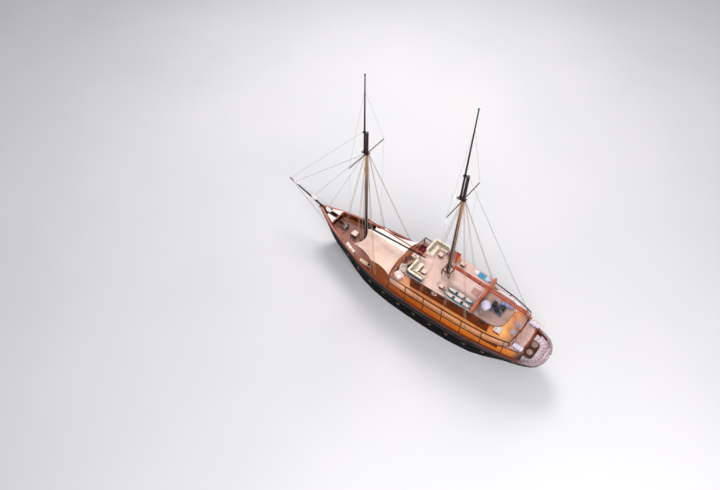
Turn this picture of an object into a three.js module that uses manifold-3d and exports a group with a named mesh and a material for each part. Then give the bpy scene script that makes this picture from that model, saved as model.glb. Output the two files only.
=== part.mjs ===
// Two-masted wooden sailing ship with three deck levels, afloat.
// Millimetres. +X towards the bow, +Y to port, +Z up. The origin is on the waterline, amidships.
import * as THREE from "three";
import { mergeVertices } from "three/addons/utils/BufferGeometryUtils.js";
import Module from "manifold-3d";

const wasm = await Module();
wasm.setup();

// Driving dimensions
const gap = 0.4;                       // between faces that meet
const bulwarkHeight = 900;             // main deck to the top of the cap rail
const bulwarkThickness = 140;
const bulwarkFootThickness = 100;      // where the bulwark meets the deck
const capRailHeight = 80;
const capRailInner = 190;              // cap rail, inboard of the hull's edge
const capRailOuter = 70;
const midSheer = 3350;                 // lowest cap rail height, above water
const sheerX = -3000;                  // where the sheer is lowest
const sheerForward = 5.0e-6;           // rise of the sheer for each mm squared, towards the bow
const sheerAft = 3.4e-6;
const keelHalf = 150;
const upperDeckZ = 4800;
const upperDeckThickness = 120;
const upperDeckFront = 2450;
const upperDeckBeamX = -12400;         // where the guests' deck ends at a rail
const upperDeckEnd = -13700;
const sunDeckZ = 7150;
const sunDeckThickness = 150;
const sunDeckFront = 650;
const sunDeckEnd = -7700;
const aftRoofZ = 7050;
const aftRoofThickness = 120;
const railHeight = 1000;
const postSpacing = 2400;
const wallThickness = 80;

const foremast = {
  x: 8640,
  head: 21060,
  top: 27600,
  hounds: 18300,
  heelRadius: 215,
  headRadius: 150,
  pins: [6640, 7950],                  // of its boom, and of the gaff above that
  levelPins: true,                     // its spars lift; the other mast's boom swings
};
const aftMast = {
  x: -2950,
  head: 22350,
  top: 29600,
  hounds: 19300,
  heelRadius: 215,
  headRadius: 150,
  pins: [8920],
  levelPins: false,
};
const crosstreeHalf = 2900;
const mastTable = 330;                 // distance from lower mast to topmast, centre to centre
const spritHeel = new THREE.Vector3(12300, 0, 4080);
const spritTip = new THREE.Vector3(21200, 0, 6710);
const spritHeelRadius = 170;
const spritTipRadius = 70;

// Hull stations, bow to stern: x, half beam at the cap, half beam at the waterline or at the lowest
// point above it, height of the hull's lowest line there
const stations = [
  [16000, 60, 30, 4700],
  [15300, 420, 150, 3350],
  [14400, 850, 330, 2000],
  [13400, 1310, 560, 600],
  [12600, 1620, 560, -500],
  [11500, 1980, 960, -1450],
  [10000, 2400, 1550, -1950],
  [8500, 2810, 2150, -2080],
  [6800, 3230, 2750, -2130],
  [4800, 3580, 3180, -2180],
  [2400, 3740, 3420, -2230],
  [0, 3750, 3460, -2280],
  [-3000, 3690, 3400, -2320],
  [-6000, 3560, 3200, -2360],
  [-8800, 3330, 2780, -2400],
  [-10960, 3060, 1950, -2430],
  [-11000, 3050, 1930, -380],
  [-12400, 2800, 1500, 120],
  [-13700, 2560, 1350, 700],
  [-14700, 2320, 1250, 1300],
  [-15400, 1960, 1150, 1900],
  [-15850, 1520, 950, 2350],
  [-16120, 950, 600, 2700],
  [-16240, 350, 250, 2900],
];

const capAt = (x) => midSheer + (x > sheerX ? sheerForward : sheerAft) * (x - sheerX) ** 2;

// Values between stations follow straight lines, as the hull's surface does, and run on past its ends
function between(x, valueOf) {
  const last = stations.length - 1;
  const behind = stations.findIndex((row) => row[0] <= x);
  const i = behind < 0 ? last : Math.max(1, behind);
  const [fore, aft] = [stations[i - 1], stations[i]];
  const t = (fore[0] - x) / (fore[0] - aft[0]);
  return valueOf(fore) * (1 - t) + valueOf(aft) * t;
}
const capZ = (x) => between(x, (row) => capAt(row[0]));
const deckZ = (x) => capZ(x) - bulwarkHeight;
const beamAt = (x) => between(x, (row) => row[1]);

// Colours
const colours = {
  black: [0x17181b, 0.45, 0.0],
  redBrown: [0x7a2c1c, 0.45, 0.0],
  darkWood: [0x2a1711, 0.5, 0.0],
  teak: [0xb98f78, 0.7, 0.0],
  varnish: [0x8e4a22, 0.35, 0.0],
  cream: [0xe3cdb4, 0.85, 0.0],
  white: [0xe9e6e4, 0.55, 0.0],
  grey: [0x6d6f75, 0.5, 0.4],
  rope: [0xa9957c, 0.8, 0.0],
  teal: [0x2c8693, 0.5, 0.0],
  blue: [0x2579a8, 0.45, 0.0],
  bronze: [0x9a6a3a, 0.35, 0.9],
};

const ship = new THREE.Group();

function addPart(name, shape, colour) {
  const geometry = shape instanceof wasm.Manifold ? geometryOf(shape) : shape;
  const [hex, roughness, metalness] = colours[colour];
  const material = new THREE.MeshStandardMaterial({ color: hex, roughness, metalness });
  const mesh = new THREE.Mesh(geometry, material);
  mesh.name = name;
  ship.add(mesh);
  return mesh;
}

// A round shape is welded while it is still at the origin, where its seam's two edges agree best
function welded(geometry) {
  geometry.deleteAttribute("normal");
  geometry.deleteAttribute("uv");
  return mergeVertices(geometry, 1e-3);
}

function solidOf(geometry) {
  const merged = welded(geometry);
  const vertProperties = new Float32Array(merged.attributes.position.array);
  const triVerts = new Uint32Array(merged.index.array);
  return new wasm.Manifold(new wasm.Mesh({ numProp: 3, vertProperties, triVerts }));
}

function geometryOf(solid) {
  const mesh = solid.getMesh();
  const geometry = new THREE.BufferGeometry();
  geometry.setAttribute("position", new THREE.BufferAttribute(mesh.vertProperties, 3));
  geometry.setIndex(new THREE.BufferAttribute(mesh.triVerts, 1));
  return geometry;
}

const joined = (solids) => solids.reduce((whole, solid) => whole.add(solid));

function box(x0, x1, y0, y1, z0, z1) {
  const geometry = new THREE.BoxGeometry(Math.abs(x1 - x0), Math.abs(y1 - y0), Math.abs(z1 - z0));
  geometry.translate((x0 + x1) / 2, (y0 + y1) / 2, (z0 + z1) / 2);
  return solidOf(geometry);
}

// A round bar between two points, tapered where the radii differ
function bar(from, to, fromRadius, toRadius = fromRadius, sides = 12) {
  const span = new THREE.Vector3().subVectors(to, from);
  const geometry = welded(new THREE.CylinderGeometry(toRadius, fromRadius, span.length(), sides));
  const turn = new THREE.Quaternion().setFromUnitVectors(
    new THREE.Vector3(0, 1, 0),
    span.clone().normalize(),
  );
  geometry.applyQuaternion(turn);
  geometry.translate((from.x + to.x) / 2, (from.y + to.y) / 2, (from.z + to.z) / 2);
  return solidOf(geometry);
}

const point = (x, y, z) => new THREE.Vector3(x, y, z);

// Height at x of the line through two points
const heightOn = (from, to, x) => from.z + ((x - from.x) * (to.z - from.z)) / (to.x - from.x);

// A closed skin over rings of equal point count, fanned shut at both ends or run round in a loop.
// Seen along the way from ring to ring, each ring's points run anticlockwise.
function loft(rings, loops = false) {
  const count = rings[0].length;
  const positions = rings.flat().flatMap((p) => [p.x, p.y, p.z]);
  const total = rings.length * count;
  const faces = [];
  for (let r = 0; r < rings.length - (loops ? 0 : 1); r += 1) {
    for (let i = 0; i < count; i += 1) {
      const a = r * count + i;
      const b = r * count + ((i + 1) % count);
      const [nextA, nextB] = [(a + count) % total, (b + count) % total];
      faces.push(a, nextA, b, b, nextA, nextB);
    }
  }
  const end = total - count;
  for (let i = 1; i < count - 1 && !loops; i += 1) {
    faces.push(0, i, i + 1);
    faces.push(end, end + i + 1, end + i);
  }
  const geometry = new THREE.BufferGeometry();
  geometry.setAttribute("position", new THREE.Float32BufferAttribute(positions, 3));
  geometry.setIndex(faces);
  return solidOf(geometry);
}

// An outline without the points that lie on the line between their neighbours
function corners(points) {
  return points.filter(([x, y], i) => {
    const [ax, ay] = points[(i + points.length - 1) % points.length];
    const [bx, by] = points[(i + 1) % points.length];
    const twist = (x - ax) * (by - ay) - (y - ay) * (bx - ax);
    return Math.abs(twist) > 0.05 * Math.hypot(bx - ax, by - ay);
  });
}

function shapeOf(points, holes = []) {
  const shape = new THREE.Shape(corners(points).map(([x, y]) => new THREE.Vector2(x, y)));
  for (const hole of holes) {
    shape.holes.push(new THREE.Path(hole.map(([x, y]) => new THREE.Vector2(x, y))));
  }
  return shape;
}

// A flat plate from its plan outline, between two heights
function plate(outline, z0, z1, holes = []) {
  const settings = { depth: z1 - z0, bevelEnabled: false };
  const geometry = new THREE.ExtrudeGeometry(shapeOf(outline, holes), settings);
  geometry.translate(0, 0, z0);
  return solidOf(geometry);
}

// The same plate, with each of its heights counted from a sloping surface
function bentPlate(outline, z0, z1, surface, holes = []) {
  const geometry = new THREE.ExtrudeGeometry(shapeOf(outline, holes), {
    depth: z1 - z0,
    bevelEnabled: false,
  });
  const position = geometry.attributes.position;
  for (let i = 0; i < position.count; i += 1) {
    position.setZ(i, position.getZ(i) + z0 + surface(position.getX(i)));
  }
  return solidOf(geometry);
}

// An upright wall along a straight plan line; its windows are [distance from start, sill, width, height]
function wall(from, to, thickness, footAt, top, windows = []) {
  const length = Math.hypot(to[0] - from[0], to[1] - from[1]);
  const along = (s) => from[0] + ((to[0] - from[0]) * s) / length;
  const breaks = stations
    .map((row) => ((row[0] - from[0]) / (to[0] - from[0])) * length)
    .filter((s) => s > 1 && s < length - 1)
    .sort((a, b) => a - b);
  const outline = [[0, footAt(along(0))]];
  for (const s of breaks) outline.push([s, footAt(along(s))]);
  outline.push([length, footAt(along(length))], [length, top], [0, top]);
  const placed = (geometry) => {
    geometry.rotateX(Math.PI / 2);
    geometry.rotateZ(Math.atan2(to[1] - from[1], to[0] - from[0]));
    geometry.translate(from[0], from[1], 0);
    return solidOf(geometry);
  };
  const slab = new THREE.ExtrudeGeometry(shapeOf(outline), { depth: thickness, bevelEnabled: false });
  slab.translate(0, 0, -thickness / 2);
  const holes = windows.map(([s, sill, width, height]) => {
    const opening = new THREE.BoxGeometry(width, height, thickness * 3);
    opening.translate(s + width / 2, sill + height / 2, 0);
    return placed(opening);
  });
  return placed(slab).subtract(joined(holes));
}

const mirrored = (outline) => outline.map(([x, y]) => [x, -y]).reverse();

// Points of a circle's arc in plan, in degrees
function arc(cx, cy, radius, from, to, steps) {
  const points = [];
  for (let i = 0; i <= steps; i += 1) {
    const angle = THREE.MathUtils.degToRad(from + ((to - from) * i) / steps);
    points.push([cx + radius * Math.cos(angle), cy + radius * Math.sin(angle)]);
  }
  return points;
}

// Hull

const bilgeDrop = 0.62;                // share of the draught at which the bilge turns
const topsideFlare = 0.55;             // share of the flare gained half way up the topside

function hullRing([x, beam, water, low]) {
  const top = capAt(x) - capRailHeight - gap;
  const sheerLine = Math.max(0, low);
  const keelTop = low < 0 ? low + 250 : low + 60;
  const half = Math.min(keelHalf, water * 0.6);
  const middle = sheerLine + (top - sheerLine) * 0.45;
  const points = [
    [half, low],
    [half, Math.min(keelTop, top - 200)],
    [low < 0 ? water * 0.78 : water * 0.9, low < 0 ? low * (1 - bilgeDrop) : low + 140],
    [water, low < 0 ? Math.max(0, low * 0.05) : low + 260],
    [water + (beam - water) * topsideFlare, Math.max(middle, low + 420)],
    [beam, top],
  ];
  const ordered = points.map(([y, z]) => [y, Math.min(z, top)]);
  const port = ordered.map(([y, z]) => point(x, y, z));
  const starboard = ordered.map(([y, z]) => point(x, -y, z)).reverse();
  return [...port, ...starboard];
}

// Half the hull's width at deck height, on the straight upper length of a station's side
function skinAtDeck(row) {
  const [knuckle, top] = hullRing(row).slice(4, 6);
  const up = (capAt(row[0]) - bulwarkHeight - knuckle.z) / Math.max(1, top.z - knuckle.z);
  return THREE.MathUtils.lerp(knuckle.y, top.y, THREE.MathUtils.clamp(up, 0, 1));
}

const wellFootAt = (x) => between(x, skinAtDeck) - bulwarkFootThickness;

const shaftZ = -1350;
const propellerX = -11420;
const propellerRadius = 640;
const sternTubeEnd = -11110;
const rudderX = -12150;
const heelEnd = -12350;
const heelTop = -2180;
const rudderTrunkFoot = -60;

function deckWell() {
  const rows = stations.filter((row) => row[0] <= 15300 && row[0] >= -15900);
  const rings = rows.map((row) => {
    const [x, beam] = row;
    const side = [
      [wellFootAt(x), capAt(x) - bulwarkHeight],
      [beam - bulwarkThickness, capAt(x)],
      [beam - bulwarkThickness, capAt(x) + 1000],
    ];
    const port = side.map(([y, z]) => point(x, y, z));
    const starboard = side.map(([y, z]) => point(x, -y, z)).reverse();
    return [...port, ...starboard];
  });
  return loft(rings);
}

const spritBed = bar(spritHeel, spritTip, spritHeelRadius + gap, spritTipRadius + gap, 14);

function hull() {
  const body = loft(stations.map(hullRing));
  const heel = box(-10900, heelEnd, -110, 110, -2430, heelTop);
  const tube = bar(point(-10900, 0, shaftZ), point(sternTubeEnd, 0, shaftZ), 150, 120, 16);
  const trunk = bar(point(rudderX, 0, rudderTrunkFoot), point(rudderX, 0, 900), 130, 130, 16);
  return joined([body, heel, tube, trunk]).subtract(deckWell()).subtract(spritBed);
}

// The port cap line moved sideways in plan, bow to stern
function planLine(offset) {
  return stations.map((row, i) => {
    const before = stations[Math.max(0, i - 1)];
    const after = stations[Math.min(stations.length - 1, i + 1)];
    const along = new THREE.Vector2(after[0] - before[0], after[1] - before[1]).normalize();
    return [row[0] + along.y * offset, Math.max(40, row[1] - along.x * offset)];
  });
}

function capRail() {
  const outer = planLine(capRailOuter);
  const inner = planLine(-capRailInner);
  const section = (side) => ([ox, oy], i) => {
    const [ix, iy] = inner[i];
    const [outTop, inTop] = [capZ(ox), capZ(ix)];
    return [
      point(ix, side * iy, inTop - capRailHeight),
      point(ix, side * iy, inTop),
      point(ox, side * oy, outTop),
      point(ox, side * oy, outTop - capRailHeight),
    ];
  };
  const port = outer.map(section(1)).reverse();
  const starboard = outer.map(section(-1));
  return loft([...port, ...starboard], true).subtract(spritBed);
}

addPart("hull", hull(), "black");
addPart("cap_rail", capRail(), "redBrown");

// Rudder and propeller

function rudder() {
  const stockTop = rudderTrunkFoot - gap;
  const bladeTop = stockTop - 120;
  const bladeFoot = heelTop + 60;
  const stock = bar(point(rudderX, 0, heelTop + gap), point(rudderX, 0, stockTop), 55, 55, 16);
  const section = [
    [rudderX + 130, 0],
    [rudderX + 60, 45],
    [rudderX - 500, 45],
    [rudderX - 1250, 15],
    [rudderX - 1250, -15],
    [rudderX - 500, -45],
    [rudderX + 60, -45],
  ];
  return stock.add(plate(section, bladeFoot, bladeTop));
}

function propeller() {
  const front = sternTubeEnd - gap;
  const hub = bar(point(front, 0, shaftZ), point(front - 420, 0, shaftZ), 105, 60, 16);
  const blade = new THREE.Shape();
  blade.moveTo(-90, 60);
  blade.quadraticCurveTo(-330, 380, -60, propellerRadius);
  blade.quadraticCurveTo(260, 520, 90, 60);
  const solids = [0, 1, 2, 3].map((i) => {
    const geometry = new THREE.ExtrudeGeometry(blade, { depth: 28, bevelEnabled: false, curveSegments: 5 });
    geometry.translate(0, 0, -14);
    geometry.rotateY(THREE.MathUtils.degToRad(28));
    geometry.rotateX(Math.PI / 2);
    geometry.rotateZ(Math.PI / 2);
    geometry.rotateX((i * Math.PI) / 2);
    geometry.translate(propellerX + 60, 0, shaftZ);
    return solidOf(geometry);
  });
  return joined([hub, ...solids]);
}

addPart("rudder", rudder(), "black");
addPart("propeller", propeller(), "bronze");

// Bow: bowsprit, platform, pads and tied headsails

const spritAt = (x) => heightOn(spritHeel, spritTip, x);

const spritRadiusAt = (x) =>
  spritHeelRadius - ((x - spritHeel.x) * (spritHeelRadius - spritTipRadius)) / (spritTip.x - spritHeel.x);

const platformTop = 4790;
const platformRear = 13060;
const platformFront = 15150;
const padThickness = 150;

function bowPlatform() {
  const inner = (x) => beamAt(x) - capRailInner - 50;
  const xs = [platformFront, 14400, 13400, platformRear];
  const port = xs.map((x) => [x, inner(x)]);
  const top = plate([...port, ...mirrored(port)], platformTop - 60, platformTop);
  const slot = box(platformRear + 260, 16000, -250, 250, 4000, 6000);
  const kneeFoot = deckZ(platformRear + 60) + gap;
  const knees = [-1, 1].map((side) => {
    const y = side * 900;
    return box(platformRear, platformRear + 60, y - 60, y + 60, kneeFoot, platformTop - 30);
  });
  return joined([top.subtract(slot), ...knees]).subtract(spritBed);
}

function bowPad(side) {
  const inner = (x) => beamAt(x) - capRailInner - 90;
  const rows = [14500, 14400, 13400, platformRear + 60];
  const edge = rows.map((x) => [x, inner(x)]);
  const outline = [...edge, [platformRear + 60, 300], [14500, 300]];
  const turned = side > 0 ? outline : mirrored(outline);
  return plate(turned, platformTop + gap, platformTop + gap + padThickness);
}

// Each headsail tied down at the foot of its stay, outermost first: x of its middle, length, radius
const bundles = [
  [20130, 900, 260],
  [17200, 900, 270],
  [14800, 800, 250],
];
const lineRadius = 20;
const stayFoot = (x) => point(x + 150, 0, spritAt(x + 150) + spritRadiusAt(x) + 25);
const bandZ = (mast) => mast.hounds - 260;
const bandRadius = 270;
const bandHalf = 100;
const lineStart = 228;                 // from the mast's middle, inside the band's iron

// The forestays leave the band one below the other, the outermost highest
const stayStep = 55;
const stayTop = 60;

// A forestay down to x on the bowsprit, run on past its foot where it cuts its way
function forestay(x, order, radius, past = 0) {
  const top = point(foremast.x + lineStart - 8 * order, 0, bandZ(foremast) + stayTop - stayStep * order);
  const foot = stayFoot(x);
  const along = foot.clone().sub(top).normalize();
  return bar(top, foot.addScaledVector(along, past), radius, radius, 6);
}

function bundle([x, length, radius], order) {
  const rise = Math.atan2(spritTip.z - spritHeel.z, spritTip.x - spritHeel.x);
  const profile = [
    [0, -length / 2],
    [radius * 0.55, -length * 0.46],
    [radius, -length * 0.22],
    [radius * 0.92, length * 0.12],
    [radius * 0.5, length * 0.42],
    [0, length / 2],
  ].map(([r, y]) => new THREE.Vector2(r, y));
  const geometry = welded(new THREE.LatheGeometry(profile, 10));
  geometry.rotateZ(-Math.PI / 2 + rise);
  geometry.translate(x, 0, spritAt(x) + radius + 60);
  return solidOf(geometry).subtract(spritBed).subtract(forestay(x, order, lineRadius + 1, 10));
}

// The line that ties the three headsails down runs along the sprit, to port of its top
function headsails() {
  const aside = THREE.MathUtils.degToRad(40);
  const onShoulder = (x) => {
    const out = spritRadiusAt(x) + lineRadius + 4;
    return point(x, out * Math.sin(aside), spritAt(x) + out * Math.cos(aside));
  };
  const lashing = bar(onShoulder(bundles[2][0]), onShoulder(bundles[0][0]), lineRadius, lineRadius, 8);
  return joined([...bundles.map(bundle), lashing]);
}

addPart("bowsprit", bar(spritHeel, spritTip, spritHeelRadius, spritTipRadius, 14), "darkWood");
addPart("bow_platform", bowPlatform(), "redBrown");
addPart("bow_pad_port", bowPad(1), "white");
addPart("bow_pad_starboard", bowPad(-1), "white");
addPart("headsail_bundles", headsails(), "white");

// Foredeck: windlass, hatch with its lid, bench and lounger

const hatch = { x0: 9980, x1: 10800, half: 430, height: 420 };

function windlass() {
  const x = 11850;
  const foot = deckZ(x + 260) + gap;
  const barrel = bar(point(x, -620, foot + 430), point(x, 620, foot + 430), 190, 190, 14);
  const cheeks = [-380, 380].map((y) => box(x - 280, x + 260, y - 70, y + 70, foot, foot + 560));
  return joined([barrel, ...cheeks]);
}

function hatchCoaming() {
  const foot = deckZ(hatch.x1) + gap;
  const outer = box(hatch.x0, hatch.x1, -hatch.half, hatch.half, foot, foot + hatch.height);
  const inner = box(hatch.x0 + 50, hatch.x1 - 50, 50 - hatch.half, hatch.half - 50, foot + 60, foot + 900);
  return outer.subtract(inner);
}

const lidHinge = { x: hatch.x0 - 30, z: deckZ(hatch.x1) + gap + hatch.height + 30 };

function hatchLid() {
  const z0 = deckZ(hatch.x1) + gap + hatch.height + 6;
  const top = box(hatch.x0 + 5, hatch.x1 + 25, -hatch.half - 25, hatch.half + 25, z0, z0 + 50);
  const knuckle = bar(point(lidHinge.x, -200, lidHinge.z), point(lidHinge.x, 200, lidHinge.z), 24, 24, 12);
  const leaf = box(lidHinge.x, hatch.x0 + 20, -200, 200, lidHinge.z - 10, lidHinge.z + 10);
  return joined([top, knuckle, leaf]);
}

function hatchHinge() {
  const lug = (y0, y1) => {
    const block = box(lidHinge.x - 24, hatch.x0, y0, y1, lidHinge.z - 90, lidHinge.z - 6);
    const eye = bar(point(lidHinge.x, y0, lidHinge.z), point(lidHinge.x, y1, lidHinge.z), 24, 24, 12);
    return block.add(eye);
  };
  return lug(-240, -200 - gap).add(lug(200 + gap, 240));
}

function lounger() {
  const [x0, x1, y0, y1] = [5950, 7650, 2190, 2750];
  const seat = deckZ(x1) + 180;
  const base = box(x0, x1, y0, y1, seat, seat + 150);
  const legs = [x0 + 100, x1 - 160].map((x) => box(x, x + 60, y0, y1, deckZ(x + 60) + gap, seat + 20));
  return joined([base, ...legs]);
}

addPart("windlass", windlass(), "grey");
addPart("deck_hatch", hatchCoaming().add(hatchHinge()), "varnish");
addPart("deck_hatch_lid", hatchLid(), "white");
addPart("lounger", lounger(), "cream");

function foredeckBench() {
  const rows = [10300, 10000, 8700];
  const outer = rows.map((x) => [x, wellFootAt(x) - 8]);
  const inner = rows.map((x) => [x, wellFootAt(x) - 560]).reverse();
  return bentPlate([...outer, ...inner], gap, 430, deckZ);
}

addPart("foredeck_bench", foredeckBench(), "cream");

// Masts: a lower mast, and a topmast on its forward side

// A spar's eye turns between two lugs on its mast: on a level pin, or on an upright one
const pinX = 420;                      // aft of the mast's middle
const eyeRadius = 60;
const eyeHalf = 70;
const lugThickness = 40;

function pinBar(mast, z, from, to) {
  const x = mast.x - pinX;
  const end = (s) => (mast.levelPins ? point(x, s, z) : point(x, 0, z + s));
  return bar(end(from), end(to), eyeRadius, eyeRadius, 12);
}

function lugs(mast, z) {
  const x = mast.x - pinX;
  return [-1, 1].map((side) => {
    const faces = [side * (eyeHalf + gap), side * (eyeHalf + lugThickness)].sort((a, b) => a - b);
    const arm = mast.levelPins
      ? box(x, mast.x, faces[0], faces[1], z - eyeRadius, z + eyeRadius)
      : box(x, mast.x, -eyeRadius, eyeRadius, z + faces[0], z + faces[1]);
    return arm.add(pinBar(mast, z, faces[0], faces[1]));
  });
}

const collarRadius = 330;
const mastSides = 16;

function mastRadiusAt(mast, z) {
  const share = (z - mast.foot - 40) / (mast.head - mast.foot - 40);
  return mast.heelRadius + (mast.headRadius - mast.heelRadius) * share;
}

function lowerMast(mast) {
  const { foot, head, heelRadius, headRadius } = mast;
  const trunk = bar(point(mast.x, 0, foot + 40), point(mast.x, 0, head), heelRadius, headRadius, mastSides);
  const collar = bar(point(mast.x, 0, foot + gap), point(mast.x, 0, foot + 160), collarRadius, 300, 16);
  const trestle = box(mast.x - 260, mast.x + 560, -230, 230, mast.hounds - 90, mast.hounds + 30);
  const treeHalf = crosstreeHalf;
  const crosstree = box(mast.x - 45, mast.x + 45, -treeHalf, treeHalf, mast.hounds - 80, mast.hounds);
  return joined([trunk, collar, trestle, crosstree, ...mast.pins.flatMap((z) => lugs(mast, z))]);
}

function topmast(mast) {
  const x = mast.x + mastTable;
  const foot = mast.hounds + 30 + gap;
  const spar = bar(point(x, 0, foot), point(x, 0, mast.top), 115, 55, 14);
  const truck = bar(point(x, 0, mast.top - 20), point(x, 0, mast.top + 60), 90, 90, 14);
  const capZ0 = mast.head - 260;
  const cap = box(mast.x + 185, x + 150, -130, 130, capZ0, capZ0 + 180);
  return joined([spar, truck, cap]);
}

foremast.foot = deckZ(foremast.x + collarRadius);
addPart("foremast", lowerMast(foremast), "darkWood");
addPart("fore_topmast", topmast(foremast), "redBrown");
aftMast.foot = sunDeckZ;
addPart("aft_mast", lowerMast(aftMast), "darkWood");
addPart("aft_topmast", topmast(aftMast), "redBrown");

// Booms and gaffs

const neckLength = 160;
const mainBoomEnd = point(-14600, 0, 8360);

// The spar proper starts behind its neck; grow is what a cut for it adds all round
function sparBar(mast, z, end, radius, grow = 0) {
  const pin = point(mast.x - pinX, 0, z);
  const heel = pin.clone().addScaledVector(end.clone().sub(pin).normalize(), neckLength);
  return bar(heel, end, radius + grow, radius * 0.75 + grow, 12);
}

function hingedSpar(mast, z, end, radius) {
  const pin = point(mast.x - pinX, 0, z);
  const along = end.clone().sub(pin).normalize();
  const neck = bar(pin, pin.clone().addScaledVector(along, neckLength + 40), 50, 50, 8);
  return joined([pinBar(mast, z, -eyeHalf, eyeHalf), neck, sparBar(mast, z, end, radius)]);
}

addPart("fore_boom", hingedSpar(foremast, foremast.pins[0], point(30, 0, 7560), 110), "darkWood");
addPart("fore_gaff", hingedSpar(foremast, foremast.pins[1], point(-100, 0, 7970), 80), "redBrown");
addPart("main_boom", hingedSpar(aftMast, aftMast.pins[0], mainBoomEnd, 120), "redBrown");

// The lowered main gaff lies above its boom, on three chocks that straddle the boom
const gaffHeel = point(-3620, 0, 9250);
const gaffEnd = point(-12600, 0, 8930);

function mainGaff() {
  const pin = point(aftMast.x - pinX, 0, aftMast.pins[0]);
  const chocks = [-3920, -8000, -12300].map((x) =>
    box(x - 60, x + 60, -50, 50, heightOn(pin, mainBoomEnd, x), heightOn(gaffHeel, gaffEnd, x)),
  );
  const bed = sparBar(aftMast, aftMast.pins[0], mainBoomEnd, 120, gap);
  return joined([bar(gaffHeel, gaffEnd, 95, 75, 12), ...chocks]).subtract(bed);
}

addPart("main_gaff", mainGaff(), "redBrown");

// Upper deck

// Half widths of the upper deck: x, half width
const upperDeckEdge = [
  [upperDeckFront, 3640],
  [0, 3640],
  [-3200, 3570],
  [-7650, 3330],
  [-10100, 3040],
  [-11700, 2660],
  [upperDeckBeamX, 2430],
  [upperDeckEnd, 2060],
];
function edgeAt(x) {
  const i = Math.max(1, upperDeckEdge.findIndex((row) => row[0] <= x));
  const [fore, aft] = [upperDeckEdge[i - 1], upperDeckEdge[i]];
  return fore[1] + ((aft[1] - fore[1]) * (fore[0] - x)) / (fore[0] - aft[0]);
}
const frontBow = 240;                  // how far the front edge bows forward
const aftBow = 260;

const bowedFront = [-1, -0.5, 0, 0.5, 1].map((t) => [
  upperDeckFront + frontBow * (1 - t * t),
  t * upperDeckEdge[0][1],
]);
const bowedEnd = [1, 0.5, 0, -0.5, -1].map((t) => [upperDeckEnd - aftBow * (1 - t * t), t * 2060]);
const portEdge = upperDeckEdge.slice(1, -1);
const upperDeckOutline = [...bowedFront, ...portEdge, ...bowedEnd, ...mirrored(portEdge)];

// A beam of upright section along a plan line, its top at z
function railRun(outline, z, width, height) {
  const halves = outline.slice(1).map((end, i) => {
    const start = outline[i];
    const length = Math.hypot(end[0] - start[0], end[1] - start[1]) + width;
    const geometry = new THREE.BoxGeometry(length, width, height);
    geometry.rotateZ(Math.atan2(end[1] - start[1], end[0] - start[0]));
    geometry.translate((start[0] + end[0]) / 2, (start[1] + end[1]) / 2, z - height / 2);
    return solidOf(geometry);
  });
  return joined(halves);
}

const toeBeamHeight = 50;

function upperDeck() {
  const slab = plate(upperDeckOutline, upperDeckZ - upperDeckThickness, upperDeckZ);
  const toeLine = bowedEnd.map(([x, y]) => [x + 70, y * 0.96]);
  return slab.add(railRun(toeLine, upperDeckZ + toeBeamHeight, 110, toeBeamHeight + 20));
}

addPart("upper_deck", upperDeck(), "teak");

// Posts on the cap rail carry a stringer under each side of the upper deck

const postHalf = 45;
const postInset = 60;                  // from the deck's front edge and from the hull's edge
const stringerInset = 100;
const stringerHeight = 120;
const stringerTop = upperDeckZ - upperDeckThickness - gap;
const stringerEnd = upperDeckBeamX + 300;

function deckPost(x, side) {
  const footZ = Math.max(capZ(x - postHalf), capZ(x + postHalf)) + gap;
  const foot = point(x, side * (beamAt(x) - postInset), footZ);
  const top = point(x, side * (edgeAt(x) - stringerInset), stringerTop - stringerHeight + 20);
  const ring = (p) => [
    point(p.x - postHalf, p.y + postHalf, p.z),
    point(p.x + postHalf, p.y + postHalf, p.z),
    point(p.x + postHalf, p.y - postHalf, p.z),
    point(p.x - postHalf, p.y - postHalf, p.z),
  ];
  return loft([ring(foot), ring(top)]);
}

function deckPosts(side) {
  const front = upperDeckFront - postInset;
  const xs = [front, ...upperDeckEdge.slice(1, -2).map(([x]) => x), stringerEnd];
  const line = xs.map((x) => [x, side * (edgeAt(x) - stringerInset)]);
  const solids = [railRun(line, stringerTop, 90, stringerHeight)];
  for (let x = front; x > stringerEnd; x -= postSpacing) solids.push(deckPost(x, side));
  return joined(solids);
}

addPart("deck_posts_port", deckPosts(1), "darkWood");
addPart("deck_posts_starboard", deckPosts(-1), "darkWood");

// Rails along the upper deck's edges

const railInset = 70;
const railZ = upperDeckZ + railHeight;

function sideRail(side) {
  const line = upperDeckEdge.slice(0, -1).map(([x, y]) => [x, side * (y - railInset)]);
  const rails = [railRun(line, railZ, 90, 60), railRun(line, upperDeckZ + 160, 50, 50)];
  for (let x = upperDeckFront; x > upperDeckBeamX; x -= postSpacing) {
    const y = side * (edgeAt(x) - railInset);
    rails.push(box(x - 45, x + 45, y - 45, y + 45, upperDeckZ + gap, railZ - 30));
  }
  return joined(rails);
}

const frontRailLine = bowedFront.map(([x, y]) => [x - 60, y * 0.955]);
const aftRailLine = [1, 0.5, 0, -0.5, -1].map((t) => [upperDeckBeamX - 180 * (1 - t * t) - 60, t * 2250]);

function crossRail(line) {
  const rails = [railRun(line, railZ, 110, 80), railRun(line, upperDeckZ + 160, 50, 50)];
  for (const [x, y] of line) {
    rails.push(box(x - 45, x + 45, y - 45, y + 45, upperDeckZ + gap, railZ - 30));
  }
  return joined(rails);
}

addPart("upper_rail_port", sideRail(1), "darkWood");
addPart("upper_rail_starboard", sideRail(-1), "darkWood");
addPart("upper_rail_front", crossRail(frontRailLine.map(([x, y]) => [x, y * 0.975])), "redBrown");
addPart("upper_rail_aft", crossRail(aftRailLine.map(([x, y]) => [x, y * 0.96])), "darkWood");

// Deckhouses: side walls with windows, end walls with a doorway each

const doorWidth = 820;
const doorHeight = 1880;
const doorThickness = 46;
const doorClear = 26;                  // round the leaf, on the hinge side and above
const sillHeight = 60;

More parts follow.
